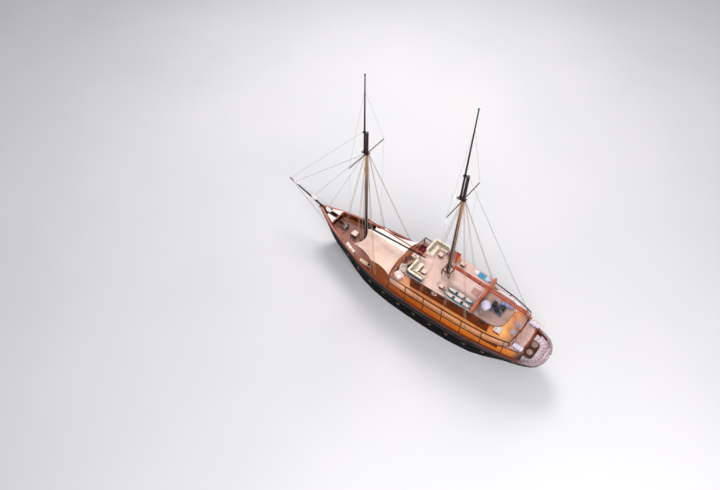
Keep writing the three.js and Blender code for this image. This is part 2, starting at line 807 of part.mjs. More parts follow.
// Each house: where it starts and ends, half widths there, foot, top, and its windows
const houses = [
  {
    name: "main_house",
    front: 1300,
    end: -11300,
    frontHalf: 2620,
    endHalf: 1960,
    foot: deckZ,
    top: upperDeckZ - upperDeckThickness - gap,
    sill: 3420,
    windowHeight: 700,
    windowWidth: 760,
    windowCount: 7,
  },
  {
    name: "upper_house",
    front: 150,
    end: -9700,
    frontHalf: 2600,
    endHalf: 2150,
    foot: () => upperDeckZ,
    top: aftRoofZ - aftRoofThickness - gap,
    sill: 5750,
    windowHeight: 760,
    windowWidth: 820,
    windowCount: 6,
    jog: { x: -7500, half: 1450 },     // the starboard wall steps in here, beside the stowed boat
  },
];

function wallRun(house, from, to) {
  const length = Math.hypot(to[0] - from[0], to[1] - from[1]);
  const count = Math.max(1, Math.round((length / (house.front - house.end)) * house.windowCount));
  const pitch = length / count;
  const windows = Array.from({ length: count }, (_, i) => [
    pitch * (i + 0.5) - house.windowWidth / 2,
    house.sill,
    house.windowWidth,
    house.windowHeight,
  ]);
  return wall(from, to, wallThickness, (x) => house.foot(x) + gap, house.top, windows);
}

function houseSide(house, side) {
  const inset = wallThickness / 2;
  const from = [house.front, side * (house.frontHalf - inset)];
  const to = [house.end, side * (house.endHalf - inset)];
  if (side > 0 || !house.jog) return wallRun(house, from, to);
  const { x, half } = house.jog;
  const share = (house.front - x) / (house.front - house.end);
  const wide = side * (house.frontHalf + (house.endHalf - house.frontHalf) * share - inset);
  const narrow = side * (half - inset);
  const step = box(x - inset, x + inset, wide, narrow, house.foot(x) + gap, house.top);
  return joined([
    wallRun(house, from, [x - inset, wide]),
    step,
    wallRun(house, [x + inset, narrow], [house.end, narrow]),
  ]);
}

// The doorway is left of the middle seen from outside, and its leaf hinges at the side near the middle
function houseEnd(house, atFront) {
  const x = atFront ? house.front : house.end;
  const half = (atFront ? house.frontHalf - 6 : house.endHalf) - wallThickness - gap;
  const inward = atFront ? -1 : 1;
  const x0 = x + inward * wallThickness;
  const foot = Math.max(house.foot(x), house.foot(x0)) + gap;
  const starboard = house.jog && !atFront ? house.jog.half - wallThickness - gap : half;
  const body = box(Math.min(x, x0), Math.max(x, x0), -starboard, half, foot, house.top);
  const y0 = -doorClear;
  const sill = foot + sillHeight;
  const doorway = box(x - 200, x + 200, y0, doorWidth + doorClear, sill, sill + doorHeight);
  const pane = (a, b) => box(x - 200, x + 200, a, b, foot + 950, foot + 950 + 700);
  return body.subtract(joined([doorway, pane(-1250, -350), pane(1150, 1700)]));
}

function houseDoor(house, atFront) {
  const x = atFront ? house.front : house.end;
  const outward = atFront ? 1 : -1;
  const foot = Math.max(house.foot(x), house.foot(x - outward * wallThickness)) + gap;
  const z0 = foot + sillHeight + 12;
  const z1 = foot + sillHeight + doorHeight - 12;
  const faces = [x - outward * 10, x - outward * (10 + doorThickness)];
  const leaf = box(Math.min(...faces), Math.max(...faces), 0, doorWidth, z0, z1);
  const pane = box(x - 200, x + 200, 160, doorWidth - 160, z0 + 950, z1 - 180);
  const axis = x - outward * 10;
  const pin = bar(point(axis, 0, foot + sillHeight + gap), point(axis, 0, z1), 16, 16, 12);
  return leaf.subtract(pane).add(pin);
}

for (const house of houses) {
  addPart(`${house.name}_wall_port`, houseSide(house, 1), "varnish");
  addPart(`${house.name}_wall_starboard`, houseSide(house, -1), "varnish");
  addPart(`${house.name}_wall_front`, houseEnd(house, true), "varnish");
  addPart(`${house.name}_wall_aft`, houseEnd(house, false), "varnish");
}
addPart("main_house_door", houseDoor(houses[0], true), "darkWood");
addPart("upper_house_door", houseDoor(houses[1], false), "darkWood");

// Sun deck and aft roof

const sunDeckPort = [
  [sunDeckFront, 2990],
  [-3500, 2820],
  [sunDeckEnd, 2600],
];
const sunDeckOutline = [...sunDeckPort, ...mirrored(sunDeckPort)];
const roofRound = 1500;
const roofEnd = -11150;
const tenderSide = -1600;              // the roof stops here, clear of the boat stowed beside it
const aftRoofOutline = [
  [sunDeckEnd - 30, 2500],
  ...arc(roofEnd + roofRound, 2500 - roofRound, roofRound, 90, 180, 6),
  ...arc(roofEnd + 900, tenderSide + 900, 900, 180, 270, 4),
  [sunDeckEnd - 30, tenderSide],
];

function sunDeck() {
  const slab = plate(sunDeckOutline, sunDeckZ - sunDeckThickness, sunDeckZ);
  const low = aftRoofZ - aftRoofThickness;
  const shelf = plate(sunDeckOutline.map(([x, y]) => [x * 0.995, y * 0.94]), low, sunDeckZ - 10);
  const strip = box(sunDeckEnd + 350, aftMast.x - 650, -1000, 950, sunDeckZ - 10, sunDeckZ + 30);
  return joined([slab, shelf, strip, ...deckBoxes(), ...sideTables()]);
}

// Low lockers beside the aft mast: x, y of the middle
const deckBoxes = () =>
  [[-3640, -2020], [-3470, 1950]].map(([x, y]) =>
    box(x - 250, x + 250, y - 250, y + 250, sunDeckZ - 10, sunDeckZ + 350),
  );

// Small tables in front of the sofas: x, y of the middle
const sideTables = () =>
  [[-850, 1550], [-970, -1560]].map(([x, y]) => {
    const top = box(x - 260, x + 260, y - 260, y + 260, sunDeckZ + 260, sunDeckZ + 300);
    return top.add(box(x - 170, x + 170, y - 170, y + 170, sunDeckZ - 10, sunDeckZ + 280));
  });

addPart("sun_deck", sunDeck(), "teak");
addPart("aft_roof", plate(aftRoofOutline, aftRoofZ - aftRoofThickness, aftRoofZ), "teak");

// Sun deck furniture and gear

const seatHeight = 380;
const backHeight = 720;

// Each sofa: the long run across the deck, the short run aft, the backs outside them
function sofa(side) {
  const z0 = sunDeckZ + gap;
  const y = (v) => side * v;
  const span = (a, b) => [Math.min(y(a), y(b)), Math.max(y(a), y(b))];
  const run = box(-360, 600, ...span(820, 2880), z0, z0 + seatHeight);
  const back = box(360, 600, ...span(820, 2880), z0, z0 + backHeight);
  const leg = box(-1380, 0, ...span(2080, 2880), z0, z0 + seatHeight);
  const legBack = box(-1380, 0, ...span(2650, 2880), z0, z0 + backHeight);
  return joined([run, back, leg, legBack]);
}

addPart("sofa_port", sofa(1), "cream");
addPart("sofa_starboard", sofa(-1), "cream");

function companion() {
  const z0 = sunDeckZ + gap;
  const outer = box(-2850, -1750, -2780, -1750, z0, z0 + 560);
  const inner = box(-2790, -1810, -2720, -1690, z0 + 60, z0 + 900);
  return outer.subtract(inner);
}

addPart("companion", companion(), "redBrown");

function stairs() {
  const [x0, x1, y0, y1] = [sunDeckFront + 60, 2150, -60, 860];
  const stepCount = 8;
  const rise = (sunDeckZ - upperDeckZ) / (stepCount + 1);
  const tread = (x1 - x0) / stepCount;
  const outline = [[x1, upperDeckZ + gap]];
  for (let i = 0; i < stepCount; i += 1) {
    outline.push([x1 - i * tread, upperDeckZ + (i + 1) * rise]);
    outline.push([x1 - (i + 1) * tread, upperDeckZ + (i + 1) * rise]);
  }
  outline.push([x0, upperDeckZ + stepCount * rise - 260], [x1 - tread, upperDeckZ + gap]);
  const geometry = new THREE.ExtrudeGeometry(shapeOf(outline), { depth: y1 - y0, bevelEnabled: false });
  geometry.rotateX(Math.PI / 2);
  geometry.translate(0, y1, 0);
  return solidOf(geometry);
}

addPart("sun_deck_stairs", stairs(), "varnish");

// Each small boat or board on deck: name, x of its middle, y, length, width, height, turn, colour
const boats = [
  ["kayak_outer", -5680, 2290, 3380, 640, 300, 0, "teal"],
  ["kayak_inner", -5650, 1600, 3200, 640, 300, 0, "teal"],
  ["paddle_board", -6180, -2120, 2420, 640, 120, -4, "blue"],
];

function pointedHull(length, width, height) {
  const half = length / 2;
  const shape = new THREE.Shape();
  shape.moveTo(-half, 0);
  shape.quadraticCurveTo(-half * 0.35, -width * 0.64, half * 0.2, -width / 2);
  shape.quadraticCurveTo(half * 0.75, -width * 0.38, half, 0);
  shape.quadraticCurveTo(half * 0.75, width * 0.38, half * 0.2, width / 2);
  shape.quadraticCurveTo(-half * 0.35, width * 0.64, -half, 0);
  return new THREE.ExtrudeGeometry(shape, { depth: height, bevelEnabled: false, curveSegments: 5 });
}

for (const [name, x, y, length, width, height, turn, colour] of boats) {
  const geometry = pointedHull(length, width, height);
  geometry.rotateZ(THREE.MathUtils.degToRad(turn));
  geometry.translate(x, y, sunDeckZ + gap);
  let solid = solidOf(geometry);
  if (colour === "teal") {
    const well = pointedHull(length * 0.82, width * 0.7, height);
    well.translate(x, y, sunDeckZ + 90);
    solid = solid.subtract(solidOf(well));
  }
  addPart(name, solid, colour);
}

addPart("cross_bench", box(-7690, -7430, -2580, 2580, sunDeckZ + gap, sunDeckZ + 430), "redBrown");

// A ball on a round foot, its middle at the given height above the roof
function dome(x, y, radius, middle, footRadius) {
  const profile = [[0, 0], [footRadius, 0], [footRadius, middle - radius * 0.9]];
  for (let i = 0; i < 8; i += 1) {
    const angle = THREE.MathUtils.degToRad(-50 + (140 * i) / 8);
    profile.push([radius * Math.cos(angle), middle + radius * Math.sin(angle)]);
  }
  profile.push([0, middle + radius]);
  const geometry = welded(new THREE.LatheGeometry(profile.map(([r, z]) => new THREE.Vector2(r, z)), 16));
  geometry.rotateX(Math.PI / 2);
  geometry.translate(x, y, aftRoofZ + gap);
  return solidOf(geometry);
}

function domes() {
  const board = box(-8700, -8150, 900, 2200, aftRoofZ + gap, aftRoofZ + 50);
  return joined([dome(-8480, 1180, 530, 700, 300), dome(-8380, 1990, 210, 330, 120), board]);
}

addPart("satellite_dome", domes(), "white");

function roofEquipment() {
  const z0 = aftRoofZ + gap;
  return joined([
    box(-10300, -8840, -300, 1100, z0, z0 + 90),
    box(-9250, -8850, -150, 450, z0, z0 + 420),
    box(-9800, -9400, 300, 900, z0, z0 + 340),
    box(-10250, -9900, -250, 300, z0, z0 + 300),
  ]);
}

addPart("roof_equipment", roofEquipment(), "grey");

// Boat stowed on the upper deck, and the raft canisters aft

function tender() {
  const z0 = upperDeckZ + gap;
  const middle = [-9400, -2290];
  const body = pointedHull(3300, 1220, 560);
  body.rotateZ(Math.PI);
  body.translate(...middle, z0 + 160);
  const chocks = [-8600, -10200].map((x) =>
    box(x - 60, x + 60, middle[1] - 400, middle[1] + 400, z0, z0 + 200));
  return joined([solidOf(body), ...chocks]);
}

addPart("tender", tender(), "white");

function canister(side) {
  const y = side * 1780;
  const z = upperDeckZ + 330;
  const body = bar(point(-12650 - 60, y, z), point(-13900 + 60, y, z), 270, 270, 16);
  const cradle = box(-13500, -12950, y - 200, y + 200, upperDeckZ + gap, z);
  return body.add(cradle);
}

addPart("raft_canister_port", canister(1), "white");
addPart("raft_canister_starboard", canister(-1), "white");

// Stern: curved bench round a well, two round tables

function sternBench() {
  const outerRows = stations.filter((row) => row[0] <= -14700 && row[0] >= -15900);
  const outerPort = [[-13950, wellFootAt(-13950) - 8]];
  for (const row of outerRows) outerPort.push([row[0] + 10, wellFootAt(row[0] + 10) - 12]);
  const innerPort = [[-13950, 1250], ...arc(-14450, 750, 500, 90, 180, 4)];
  const outline = [...outerPort, ...mirrored(outerPort)];
  const well = [...innerPort, ...mirrored(innerPort)];
  const solid = bentPlate(outline, gap, 430, deckZ);
  const cut = plate(well.map(([x, y]) => [x > -14000 ? x + 200 : x, y]), 0, 6000);
  return solid.subtract(cut);
}

addPart("stern_bench", sternBench(), "cream");

function sternTables() {
  const sole = box(-14850, -14000, -1000, 1000, deckZ(-14850) + gap, deckZ(-14850) + 50);
  const tables = [-1, 1].map((side) => {
    const z = deckZ(-14850) + 30;
    const top = bar(point(-14400, side * 560, z + 520), point(-14400, side * 560, z + 560), 350, 350, 20);
    const leg = bar(point(-14400, side * 560, z), point(-14400, side * 560, z + 540), 50, 50, 10);
    return top.add(leg);
  });
  return joined([sole, ...tables]);
}

addPart("stern_tables", sternTables(), "varnish");

function ensignStaff() {
  const socketRadius = 42;
  const foot = point(-16150, 380, capZ(-16150 - socketRadius) + gap);
  const socket = bar(foot, point(foot.x, foot.y, foot.z + 90), socketRadius, socketRadius, 10);
  const staff = bar(point(foot.x, foot.y, foot.z + 60), point(-16500, 420, foot.z + 1500), 24, 18, 8);
  return socket.add(staff);
}

addPart("ensign_staff", ensignStaff(), "white");

// Awning between the foremast and the upper deck's front rail

// Sections from front to back: x of the ridge, x of the eaves, half width, ridge height, eave height.
// The ridge is laced to the foremast, and the aft corners lie on the front rail.
const awningThickness = 25;
const awningRidgeZ = 6220;
const awningSections = [
  [foremast.x - mastRadiusAt(foremast, awningRidgeZ - 40) - gap, 8150, 2380, awningRidgeZ, 5620],
  [6400, 6400, 2050, 6150, 5700],
  [4500, 4500, 2350, 6150, 5830],
  [2860, 2440, 3150, 6120, railZ + awningThickness + gap],
];

// One cell for each stretch between two sections and each strip between two lines along the awning
function awning() {
  const lines = awningSections.map(([ridgeX, eaveX, half, ridge, eave]) => {
    const quarter = point((ridgeX + eaveX) / 2, half / 2, (ridge + eave) / 2 - 60);
    const port = [point(eaveX, half, eave), quarter];
    const starboard = port.map((p) => point(p.x, -p.y, p.z)).reverse();
    return [...port, point(ridgeX, 0, ridge), ...starboard];
  });
  const below = (p) => point(p.x, p.y, p.z - awningThickness);
  const cells = [];
  for (let i = 1; i < lines.length; i += 1) {
    for (let j = 1; j < lines[i].length; j += 1) {
      const ring = (line) => [line[j - 1], line[j], below(line[j]), below(line[j - 1])];
      cells.push(loft([ring(lines[i - 1]), ring(lines[i])]));
    }
  }
  return joined(cells);
}

addPart("awning", awning(), "cream");

// Standing rigging: all lines of a mast leave one iron band below its hounds

// Line feet: x, y, z, each on both sides; more is what leaves the band besides these
function rigging(mast, feet, more = []) {
  const z = bandZ(mast);
  const inner = mastRadiusAt(mast, z - bandHalf) + gap;
  const mastSpace = bar(point(mast.x, 0, z - 400), point(mast.x, 0, z + 400), inner, inner, mastSides);
  const [low, high] = [point(mast.x, 0, z - bandHalf), point(mast.x, 0, z + bandHalf)];
  const band = bar(low, high, bandRadius, bandRadius, 18);
  const lines = [1, -1].flatMap((side) =>
    feet.map(([x, y, footZ]) => {
      const out = new THREE.Vector2(x - mast.x, side * y).normalize().multiplyScalar(lineStart);
      const top = point(mast.x + out.x, out.y, z - bandHalf / 2);
      return bar(top, point(x, side * y, footZ), lineRadius, lineRadius, 6);
    }),
  );
  return joined([band.subtract(mastSpace), ...lines, ...more]);
}

const onCap = (x) => [x, beamAt(x) - 60, capZ(x) + 9];
const onUpperDeck = (x) => [x, edgeAt(x) - 130, upperDeckZ + 9];
const forestays = bundles.map(([x], order) => forestay(x, order, lineRadius));

addPart("fore_rigging", rigging(foremast, [10700, 7950, 4400].map(onCap), forestays), "rope");
addPart("aft_rigging", rigging(aftMast, [-1500, -4900, -7700].map(onUpperDeck)), "rope");

export default ship;
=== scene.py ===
"""Looks of a wooden two-masted sailing ship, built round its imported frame.

Metres, +X to the bow, +Y to port, +Z up, the origin on the waterline amidships.
"""

import math

import bmesh
import bpy
import numpy as np
from mathutils import Matrix, Vector, noise
from mathutils.bvhtree import BVHTree


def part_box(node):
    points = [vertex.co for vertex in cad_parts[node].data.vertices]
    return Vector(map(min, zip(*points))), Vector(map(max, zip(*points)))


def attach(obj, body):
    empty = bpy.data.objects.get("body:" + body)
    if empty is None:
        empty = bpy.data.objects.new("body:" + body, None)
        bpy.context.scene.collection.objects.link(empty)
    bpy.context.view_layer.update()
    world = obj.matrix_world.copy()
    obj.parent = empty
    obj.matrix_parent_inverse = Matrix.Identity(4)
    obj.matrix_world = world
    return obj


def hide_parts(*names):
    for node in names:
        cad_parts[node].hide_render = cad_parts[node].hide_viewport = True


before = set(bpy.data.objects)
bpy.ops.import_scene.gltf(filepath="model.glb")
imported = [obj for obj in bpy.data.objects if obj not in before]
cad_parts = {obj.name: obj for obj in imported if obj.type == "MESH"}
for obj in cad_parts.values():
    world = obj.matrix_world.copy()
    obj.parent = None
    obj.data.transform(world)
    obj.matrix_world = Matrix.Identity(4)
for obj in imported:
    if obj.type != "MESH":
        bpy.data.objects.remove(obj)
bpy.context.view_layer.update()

SIDES = {"port": 1, "starboard": -1}
UP = Vector((0, 0, 1))


# Camera and light

CAMERA_TURN = math.radians(219.446)
CAMERA_RISE = math.radians(52.304)
CAMERA_ROLL = math.radians(-0.08)
CAMERA_PLACE = (-17.943, 33.458, 58.118)
CAMERA_LENS = 28.02                      # mm
SENSOR_WIDTH = 36                        # mm
CLIP_END = 400
LIGHT_TARGET = (0, 0, 4)
LIGHTS = {                               # place, size, power and colour
    "key_light": ((34, -42, 70), 34, 47000, (1.0, 0.945, 0.88)),
    "fill_light": ((-52, 40, 46), 40, 46000, (1.0, 0.96, 0.92)),
}
WORLD_COLOUR = (0.92, 0.92, 1.0, 1)
WORLD_STRENGTH = 0.5


def add_camera():
    camera = bpy.data.objects.new("camera", bpy.data.cameras.new("camera"))
    camera.data.lens = CAMERA_LENS
    camera.data.sensor_width = SENSOR_WIDTH
    camera.data.clip_end = CLIP_END
    turn = Matrix.Rotation(CAMERA_TURN, 4, "Z")
    tilt = Matrix.Rotation(math.pi / 2 - CAMERA_RISE, 4, "X")
    roll = Matrix.Rotation(CAMERA_ROLL, 4, "Z")
    camera.matrix_world = Matrix.Translation(CAMERA_PLACE) @ turn @ tilt @ roll
    bpy.context.collection.objects.link(camera)
    bpy.context.scene.camera = camera


def add_light(name, place, size, power, colour):
    light = bpy.data.lights.new(name, "AREA")
    light.size = size
    light.energy = power
    light.color = colour
    lamp = bpy.data.objects.new(name, light)
    lamp.location = place
    lamp.rotation_mode = "QUATERNION"
    lamp.rotation_quaternion = (Vector(LIGHT_TARGET) - Vector(place)).to_track_quat("-Z", "Y")
    bpy.context.collection.objects.link(lamp)


def add_world():
    world = bpy.data.worlds.new("studio")
    world.use_nodes = True
    background = world.node_tree.nodes["Background"].inputs
    background["Color"].default_value = WORLD_COLOUR
    background["Strength"].default_value = WORLD_STRENGTH
    bpy.context.scene.world = world
    bpy.context.scene.view_settings.view_transform = "Standard"


add_camera()
for light_name, settings in LIGHTS.items():
    add_light(light_name, *settings)
add_world()


# Materials: every one is grown from nodes in the object's own coordinates

def linear(code):
    """Linear red, green and blue of an sRGB code."""
    values = [byte / 255 for byte in bytes.fromhex(code)]
    return [((v + 0.055) / 1.055) ** 2.4 if v > 0.04 else v / 12.92 for v in values] + [1]


SHINE = 0.22                             # weathered wood, paint and cloth reflect little


class Paint:
    """A material that is grown node by node."""

    def __init__(self, name, roughness=0.5, **sockets):
        self.material = bpy.data.materials.new(name)
        self.material.use_nodes = True
        self.tree = self.material.node_tree
        self.shader = self.tree.nodes["Principled BSDF"]
        self.place = self.add("TexCoord").outputs["Object"]
        self.shader.inputs["Roughness"].default_value = roughness
        self.shader.inputs["Specular IOR Level"].default_value = SHINE
        for key, value in sockets.items():
            self.shader.inputs[key.replace("_", " ")].default_value = value

    def add(self, kind, inputs=(), **settings):
        node = self.tree.nodes.new("ShaderNode" + kind)
        for key, value in settings.items():
            setattr(node, key, value)
        for key, value in dict(inputs).items():
            self.feed(node.inputs[key], value)
        return node

    def feed(self, socket, value):
        if isinstance(value, bpy.types.NodeSocket):
            self.tree.links.new(value, socket)
        else:
            socket.default_value = value

    def stretched(self, scale, turn=0.0):
        sockets = {"Vector": self.place, "Scale": scale, "Rotation": (0, 0, turn)}
        return self.add("Mapping", sockets).outputs[0]

    def noise(self, scale, stretch=(1, 1, 1), detail=4):
        vector = self.stretched(stretch)
        return self.add("TexNoise", {"Vector": vector, "Scale": scale, "Detail": detail}).outputs[0]

    def along(self, axis, low, high):
        """0 to 1 as the axis goes from low to high."""
        value = self.add("SeparateXYZ", {"Vector": self.place}).outputs[axis]
        return self.add("MapRange", {"Value": value, "From Min": low, "From Max": high}).outputs[0]

    def maths(self, operation, a, b=0.0):
        return self.add("Math", {0: a, 1: b}, operation=operation).outputs[0]

    def ramp(self, factor, stops):
        """Colours over a factor; each stop is its place and an sRGB code."""
        node = self.add("ValToRGB", {"Fac": factor})
        elements = node.color_ramp.elements
        while len(elements) < len(stops):
            elements.new(0.5)
        for element, (position, code) in zip(elements, stops):
            element.position = position
            element.color = linear(code)
        return node.outputs["Color"]

    def grey(self, factor, low, high, start=0.3, end=0.7):
        """A grey that goes from low to high."""
        node = self.add("ValToRGB", {"Fac": factor})
        for element, position, value in zip(node.color_ramp.elements, (start, end), (low, high)):
            element.position = position
            element.color = (value, value, value, 1)
        return node.outputs["Color"]

    def mix(self, factor, a, b, blend="MIX"):
        node = self.add("Mix", {0: factor, 6: a, 7: b}, data_type="RGBA", blend_type=blend)
        return node.outputs[2]

    def product(self, a, b):
        return self.mix(1.0, a, b, "MULTIPLY")

    def tinted(self, factor, code, shade, most=1.0, start=0.3, end=0.7):
        """The code's colour, which goes over to the shade's as the factor grows."""
        return self.mix(self.grey(factor, 0, most, start, end), linear(code), linear(shade))

    def colour(self, value):
        self.feed(self.shader.inputs["Base Color"], value)

    def rough(self, factor, low, high):
        value = self.add("MapRange", {"Value": factor, "To Min": low, "To Max": high}).outputs[0]
        self.feed(self.shader.inputs["Roughness"], value)

    def bump(self, height, distance, strength=0.6):
        node = self.add("Bump", {"Height": height, "Distance": distance, "Strength": strength})
        self.feed(self.shader.inputs["Normal"], node.outputs[0])


GRAIN = {"X": (0.7, 9, 9), "Y": (9, 0.7, 9), "Z": (9, 9, 0.7)}
DECK_SPAN = (-16.5, 16.5)
PLANK_LENGTH = 2.9
PLANK_SEAM = 0.014
PLANK_SHIFT = 0.37                       # how far each row's joints stand past the last one's
END_GRAIN = "1c0f0c"
LAMP_STRENGTH = 0.6
LAMP_CORE = 0.2                          # within this reach a lamp's glow is full
LIT_WOOD = "ffc890"
LAMP_GLOW = "ffb050"
UNLIT = "000000"


def painted(name, code, shade, roughness=0.35, coat=0.3, **sockets):
    """Paint over wood or steel: brushed on, a little chalky and soiled in patches."""
    paint = Paint(name, Coat_Weight=coat, Coat_Roughness=0.15, **sockets)
    paint.colour(paint.tinted(paint.noise(0.9, detail=6), code, shade, 1, 0.42, 0.66))
    paint.rough(paint.noise(7), roughness - 0.08, roughness + 0.14)
    paint.bump(paint.noise(26, (1, 1, 1), 3), 0.004, 0.35)
    return paint.material


def timber(name, light, dark, axis="X", roughness=0.4, coat=0.25):
    """Varnished or oiled wood with its grain along one axis."""
    paint = Paint(name, Coat_Weight=coat, Coat_Roughness=0.2)
    grain = paint.noise(1.6, GRAIN[axis], 6)
    wear = paint.noise(0.45, detail=3)
    colour = paint.ramp(grain, [(0.32, dark), (0.62, light)])
    paint.colour(paint.mix(paint.grey(wear, 0, 0.45, 0.45, 0.75), colour, linear(light)))
    paint.rough(grain, roughness - 0.1, roughness + 0.15)
    paint.bump(grain, 0.003, 0.4)
    return paint.material


def rail_timber(name, stops):
    """Varnished wood whose tone changes along the ship."""
    paint = Paint(name, 0.4, Coat_Weight=0.1, Coat_Roughness=0.2)
    grain = paint.noise(1.6, GRAIN["X"], 6)
    tone = paint.ramp(paint.along("X", *DECK_SPAN), stops)
    paint.colour(paint.product(tone, paint.grey(grain, 0.66, 1.05)))
    paint.rough(grain, 0.3, 0.55)
    paint.bump(grain, 0.003, 0.4)
    return paint.material


def planks(name, stops, edge, width=0.16, seam=0.35, lamp_light=None, glow=None):
    """Laid planks along X on the upper faces, the edge colour on the others.

    seam is how light the caulking is. lamp_light is the warm light on them, as stops along X,
    and glow a place and a reach that one lamp lights.
    """
    paint = Paint(name, 0.6)
    if lamp_light:
        paint.shader.inputs["Emission Strength"].default_value = LAMP_STRENGTH
        light = paint.ramp(paint.along("X", *DECK_SPAN), lamp_light)
    contrast = 0.84 + 0.1 * seam
    tones = {"Vector": paint.place, "Scale": 1, "Brick Width": PLANK_LENGTH, "Row Height": width,
             "Mortar Size": PLANK_SEAM, "Mortar Smooth": 0.2, "Bias": 0.0, "Color2": (1, 1, 1, 1),
             "Color1": (contrast, contrast, contrast, 1), "Mortar": (seam, seam, seam, 1)}
    bricks = paint.add("TexBrick", tones, offset=PLANK_SHIFT)
    # The planks' colour along X, from the stops: on the main and upper decks these stops hold painted lamp
    # light as well as the wood's own tone.
    base = paint.ramp(paint.along("X", *DECK_SPAN), stops)
    if glow:
        place, reach = glow
        away = paint.add("VectorMath", {0: paint.place, 1: place}, operation="DISTANCE").outputs["Value"]
        near = paint.add("MapRange", {"Value": away, "From Min": reach, "From Max": LAMP_CORE}).outputs[0]
        base = paint.mix(near, base, linear(LIT_WOOD))
        light = paint.mix(near, light, linear(LAMP_GLOW))
    grain = paint.noise(2.2, GRAIN["X"], 6)
    stains = paint.noise(0.35, detail=5)
    tone = paint.product(base, paint.grey(grain, 0.88, 1.06))
    tone = paint.product(tone, paint.grey(stains, 0.86, 1.05))
    tone = paint.product(tone, bricks.outputs["Color"])
    normal = paint.add("NewGeometry").outputs["True Normal"]
    upwards = paint.add("SeparateXYZ", {"Vector": normal}).outputs["Z"]
    is_top = paint.maths("GREATER_THAN", upwards, 0.7)
    paint.colour(paint.mix(is_top, paint.tinted(grain, edge, END_GRAIN, 0.5), tone))
    if lamp_light:
        lit_planks = paint.product(light, bricks.outputs["Color"])
        paint.feed(paint.shader.inputs["Emission Color"], paint.mix(is_top, linear(UNLIT), lit_planks))
    paint.rough(grain, 0.45, 0.7)
    paint.bump(paint.maths("SUBTRACT", grain, bricks.outputs["Fac"]), 0.006, 0.5)
    return paint.material


def woven(name, code, shade, thread=140, soil=0.5, starboard=None):
    """Canvas or upholstery: crossing threads, faint stains and a soft sheen. Given a starboard colour, the
    starboard half turns to it: painted light where the light falls on the cloth.
    """
    paint = Paint(name, 0.85, Sheen_Weight=0.25, Sheen_Roughness=0.5)
    threads = {"Vector": paint.place, "Scale": thread}
    warp, weft = [paint.add("TexWave", threads, bands_direction=axis).outputs[1] for axis in "XY"]
    weave = paint.maths("MULTIPLY", warp, weft)
    base = paint.tinted(paint.noise(0.8, detail=6), code, shade, soil, 0.45, 0.7)
    # Painted light: the starboard half takes a lighter colour, as if lit from that side.
    if starboard:
        base = paint.mix(paint.along("Y", 0.02, -0.02), base, linear(starboard))
    paint.colour(paint.product(base, paint.grey(weave, 0.93, 1.02)))
    paint.bump(weave, 0.002, 0.35)
    return paint.material


def laid_rope(name, code, shade):
    """Rope of three strands: a slanting wave along it."""
    paint = Paint(name, 0.85, Sheen_Weight=0.2)
    slant = paint.add("Mapping", {"Vector": paint.place, "Rotation": (0.6, 0.6, 0.3)}).outputs[0]
    strands = paint.add("TexWave", {"Vector": slant, "Scale": 22, "Distortion": 1.5}).outputs[1]
    paint.colour(paint.tinted(strands, shade, code))
    paint.bump(strands, 0.006, 0.5)
    return paint.material


def metal(name, code, shade, roughness=0.35):
    """Bare metal, dulled in patches."""
    paint = Paint(name, roughness, Metallic=0.9)
    tarnish = paint.noise(3.5, detail=6)
    paint.colour(paint.tinted(tarnish, code, shade, 1, 0.4, 0.7))
    paint.rough(tarnish, roughness - 0.1, roughness + 0.25)
    paint.bump(paint.noise(30), 0.002, 0.3)
    return paint.material


def moulded(name, code, shade, roughness=0.3):
    """Gelcoat or moulded plastic, slightly scuffed and dulled."""
    paint = Paint(name, roughness, Coat_Weight=0.35, Coat_Roughness=0.12)
    scuffs = paint.noise(2.6, (1, 1, 2), 7)
    paint.colour(paint.tinted(scuffs, code, shade, 0.8, 0.5, 0.75))
    paint.rough(scuffs, roughness - 0.08, roughness + 0.2)
    paint.bump(paint.noise(12, detail=3), 0.002, 0.2)
    return paint.material


def banded(name, axis, low, high, stops, roughness=0.35, coat=0.4):
    """A coat whose colour changes in bands along one axis."""
    paint = Paint(name, roughness, Coat_Weight=coat, Coat_Roughness=0.1)
    bands = paint.ramp(paint.along(axis, low, high), stops)
    paint.colour(paint.product(bands, paint.grey(paint.noise(3, detail=6), 0.9, 1.04)))
    paint.bump(paint.noise(15, detail=3), 0.002, 0.2)
    return paint.material


def lit(name, code, strength):
    """A lamp's glass, a little whiter in patches."""
    paint = Paint(name, 0.4, Emission_Strength=strength)
    glow = paint.tinted(paint.noise(4), code, "fff2d8", 0.3)
    paint.colour(glow)
    paint.feed(paint.shader.inputs["Emission Color"], glow)
    return paint.material


def window_glass(name):
    """Dark panes with a little dust."""
    paint = Paint(name, 0.06, Coat_Weight=0.6, Coat_Roughness=0.03, Specular_IOR_Level=0.5)
    dust = paint.noise(1.3, detail=5)
    paint.colour(paint.tinted(dust, "14181c", "2b3034", 1, 0.4, 0.8))
    paint.rough(dust, 0.04, 0.2)
    paint.bump(paint.noise(2, detail=2), 0.003, 0.2)
    return paint.material


def leafy(name):
    """Cushion cloth with a plain scatter of dark leaves."""
    paint = Paint(name, 0.85, Sheen_Weight=0.2)
    slant = paint.stretched((14, 5, 9), 0.7)
    leaves = paint.add("TexVoronoi", {"Vector": slant, "Scale": 1.1}).outputs["Distance"]
    leaf = paint.maths("LESS_THAN", leaves, 0.43)
    cloth = paint.tinted(paint.noise(3), "cfc6bb", "b9aea4")
    paint.colour(paint.mix(leaf, cloth, linear("1d2a24")))
    paint.bump(paint.noise(120, detail=2), 0.002, 0.3)
    return paint.material


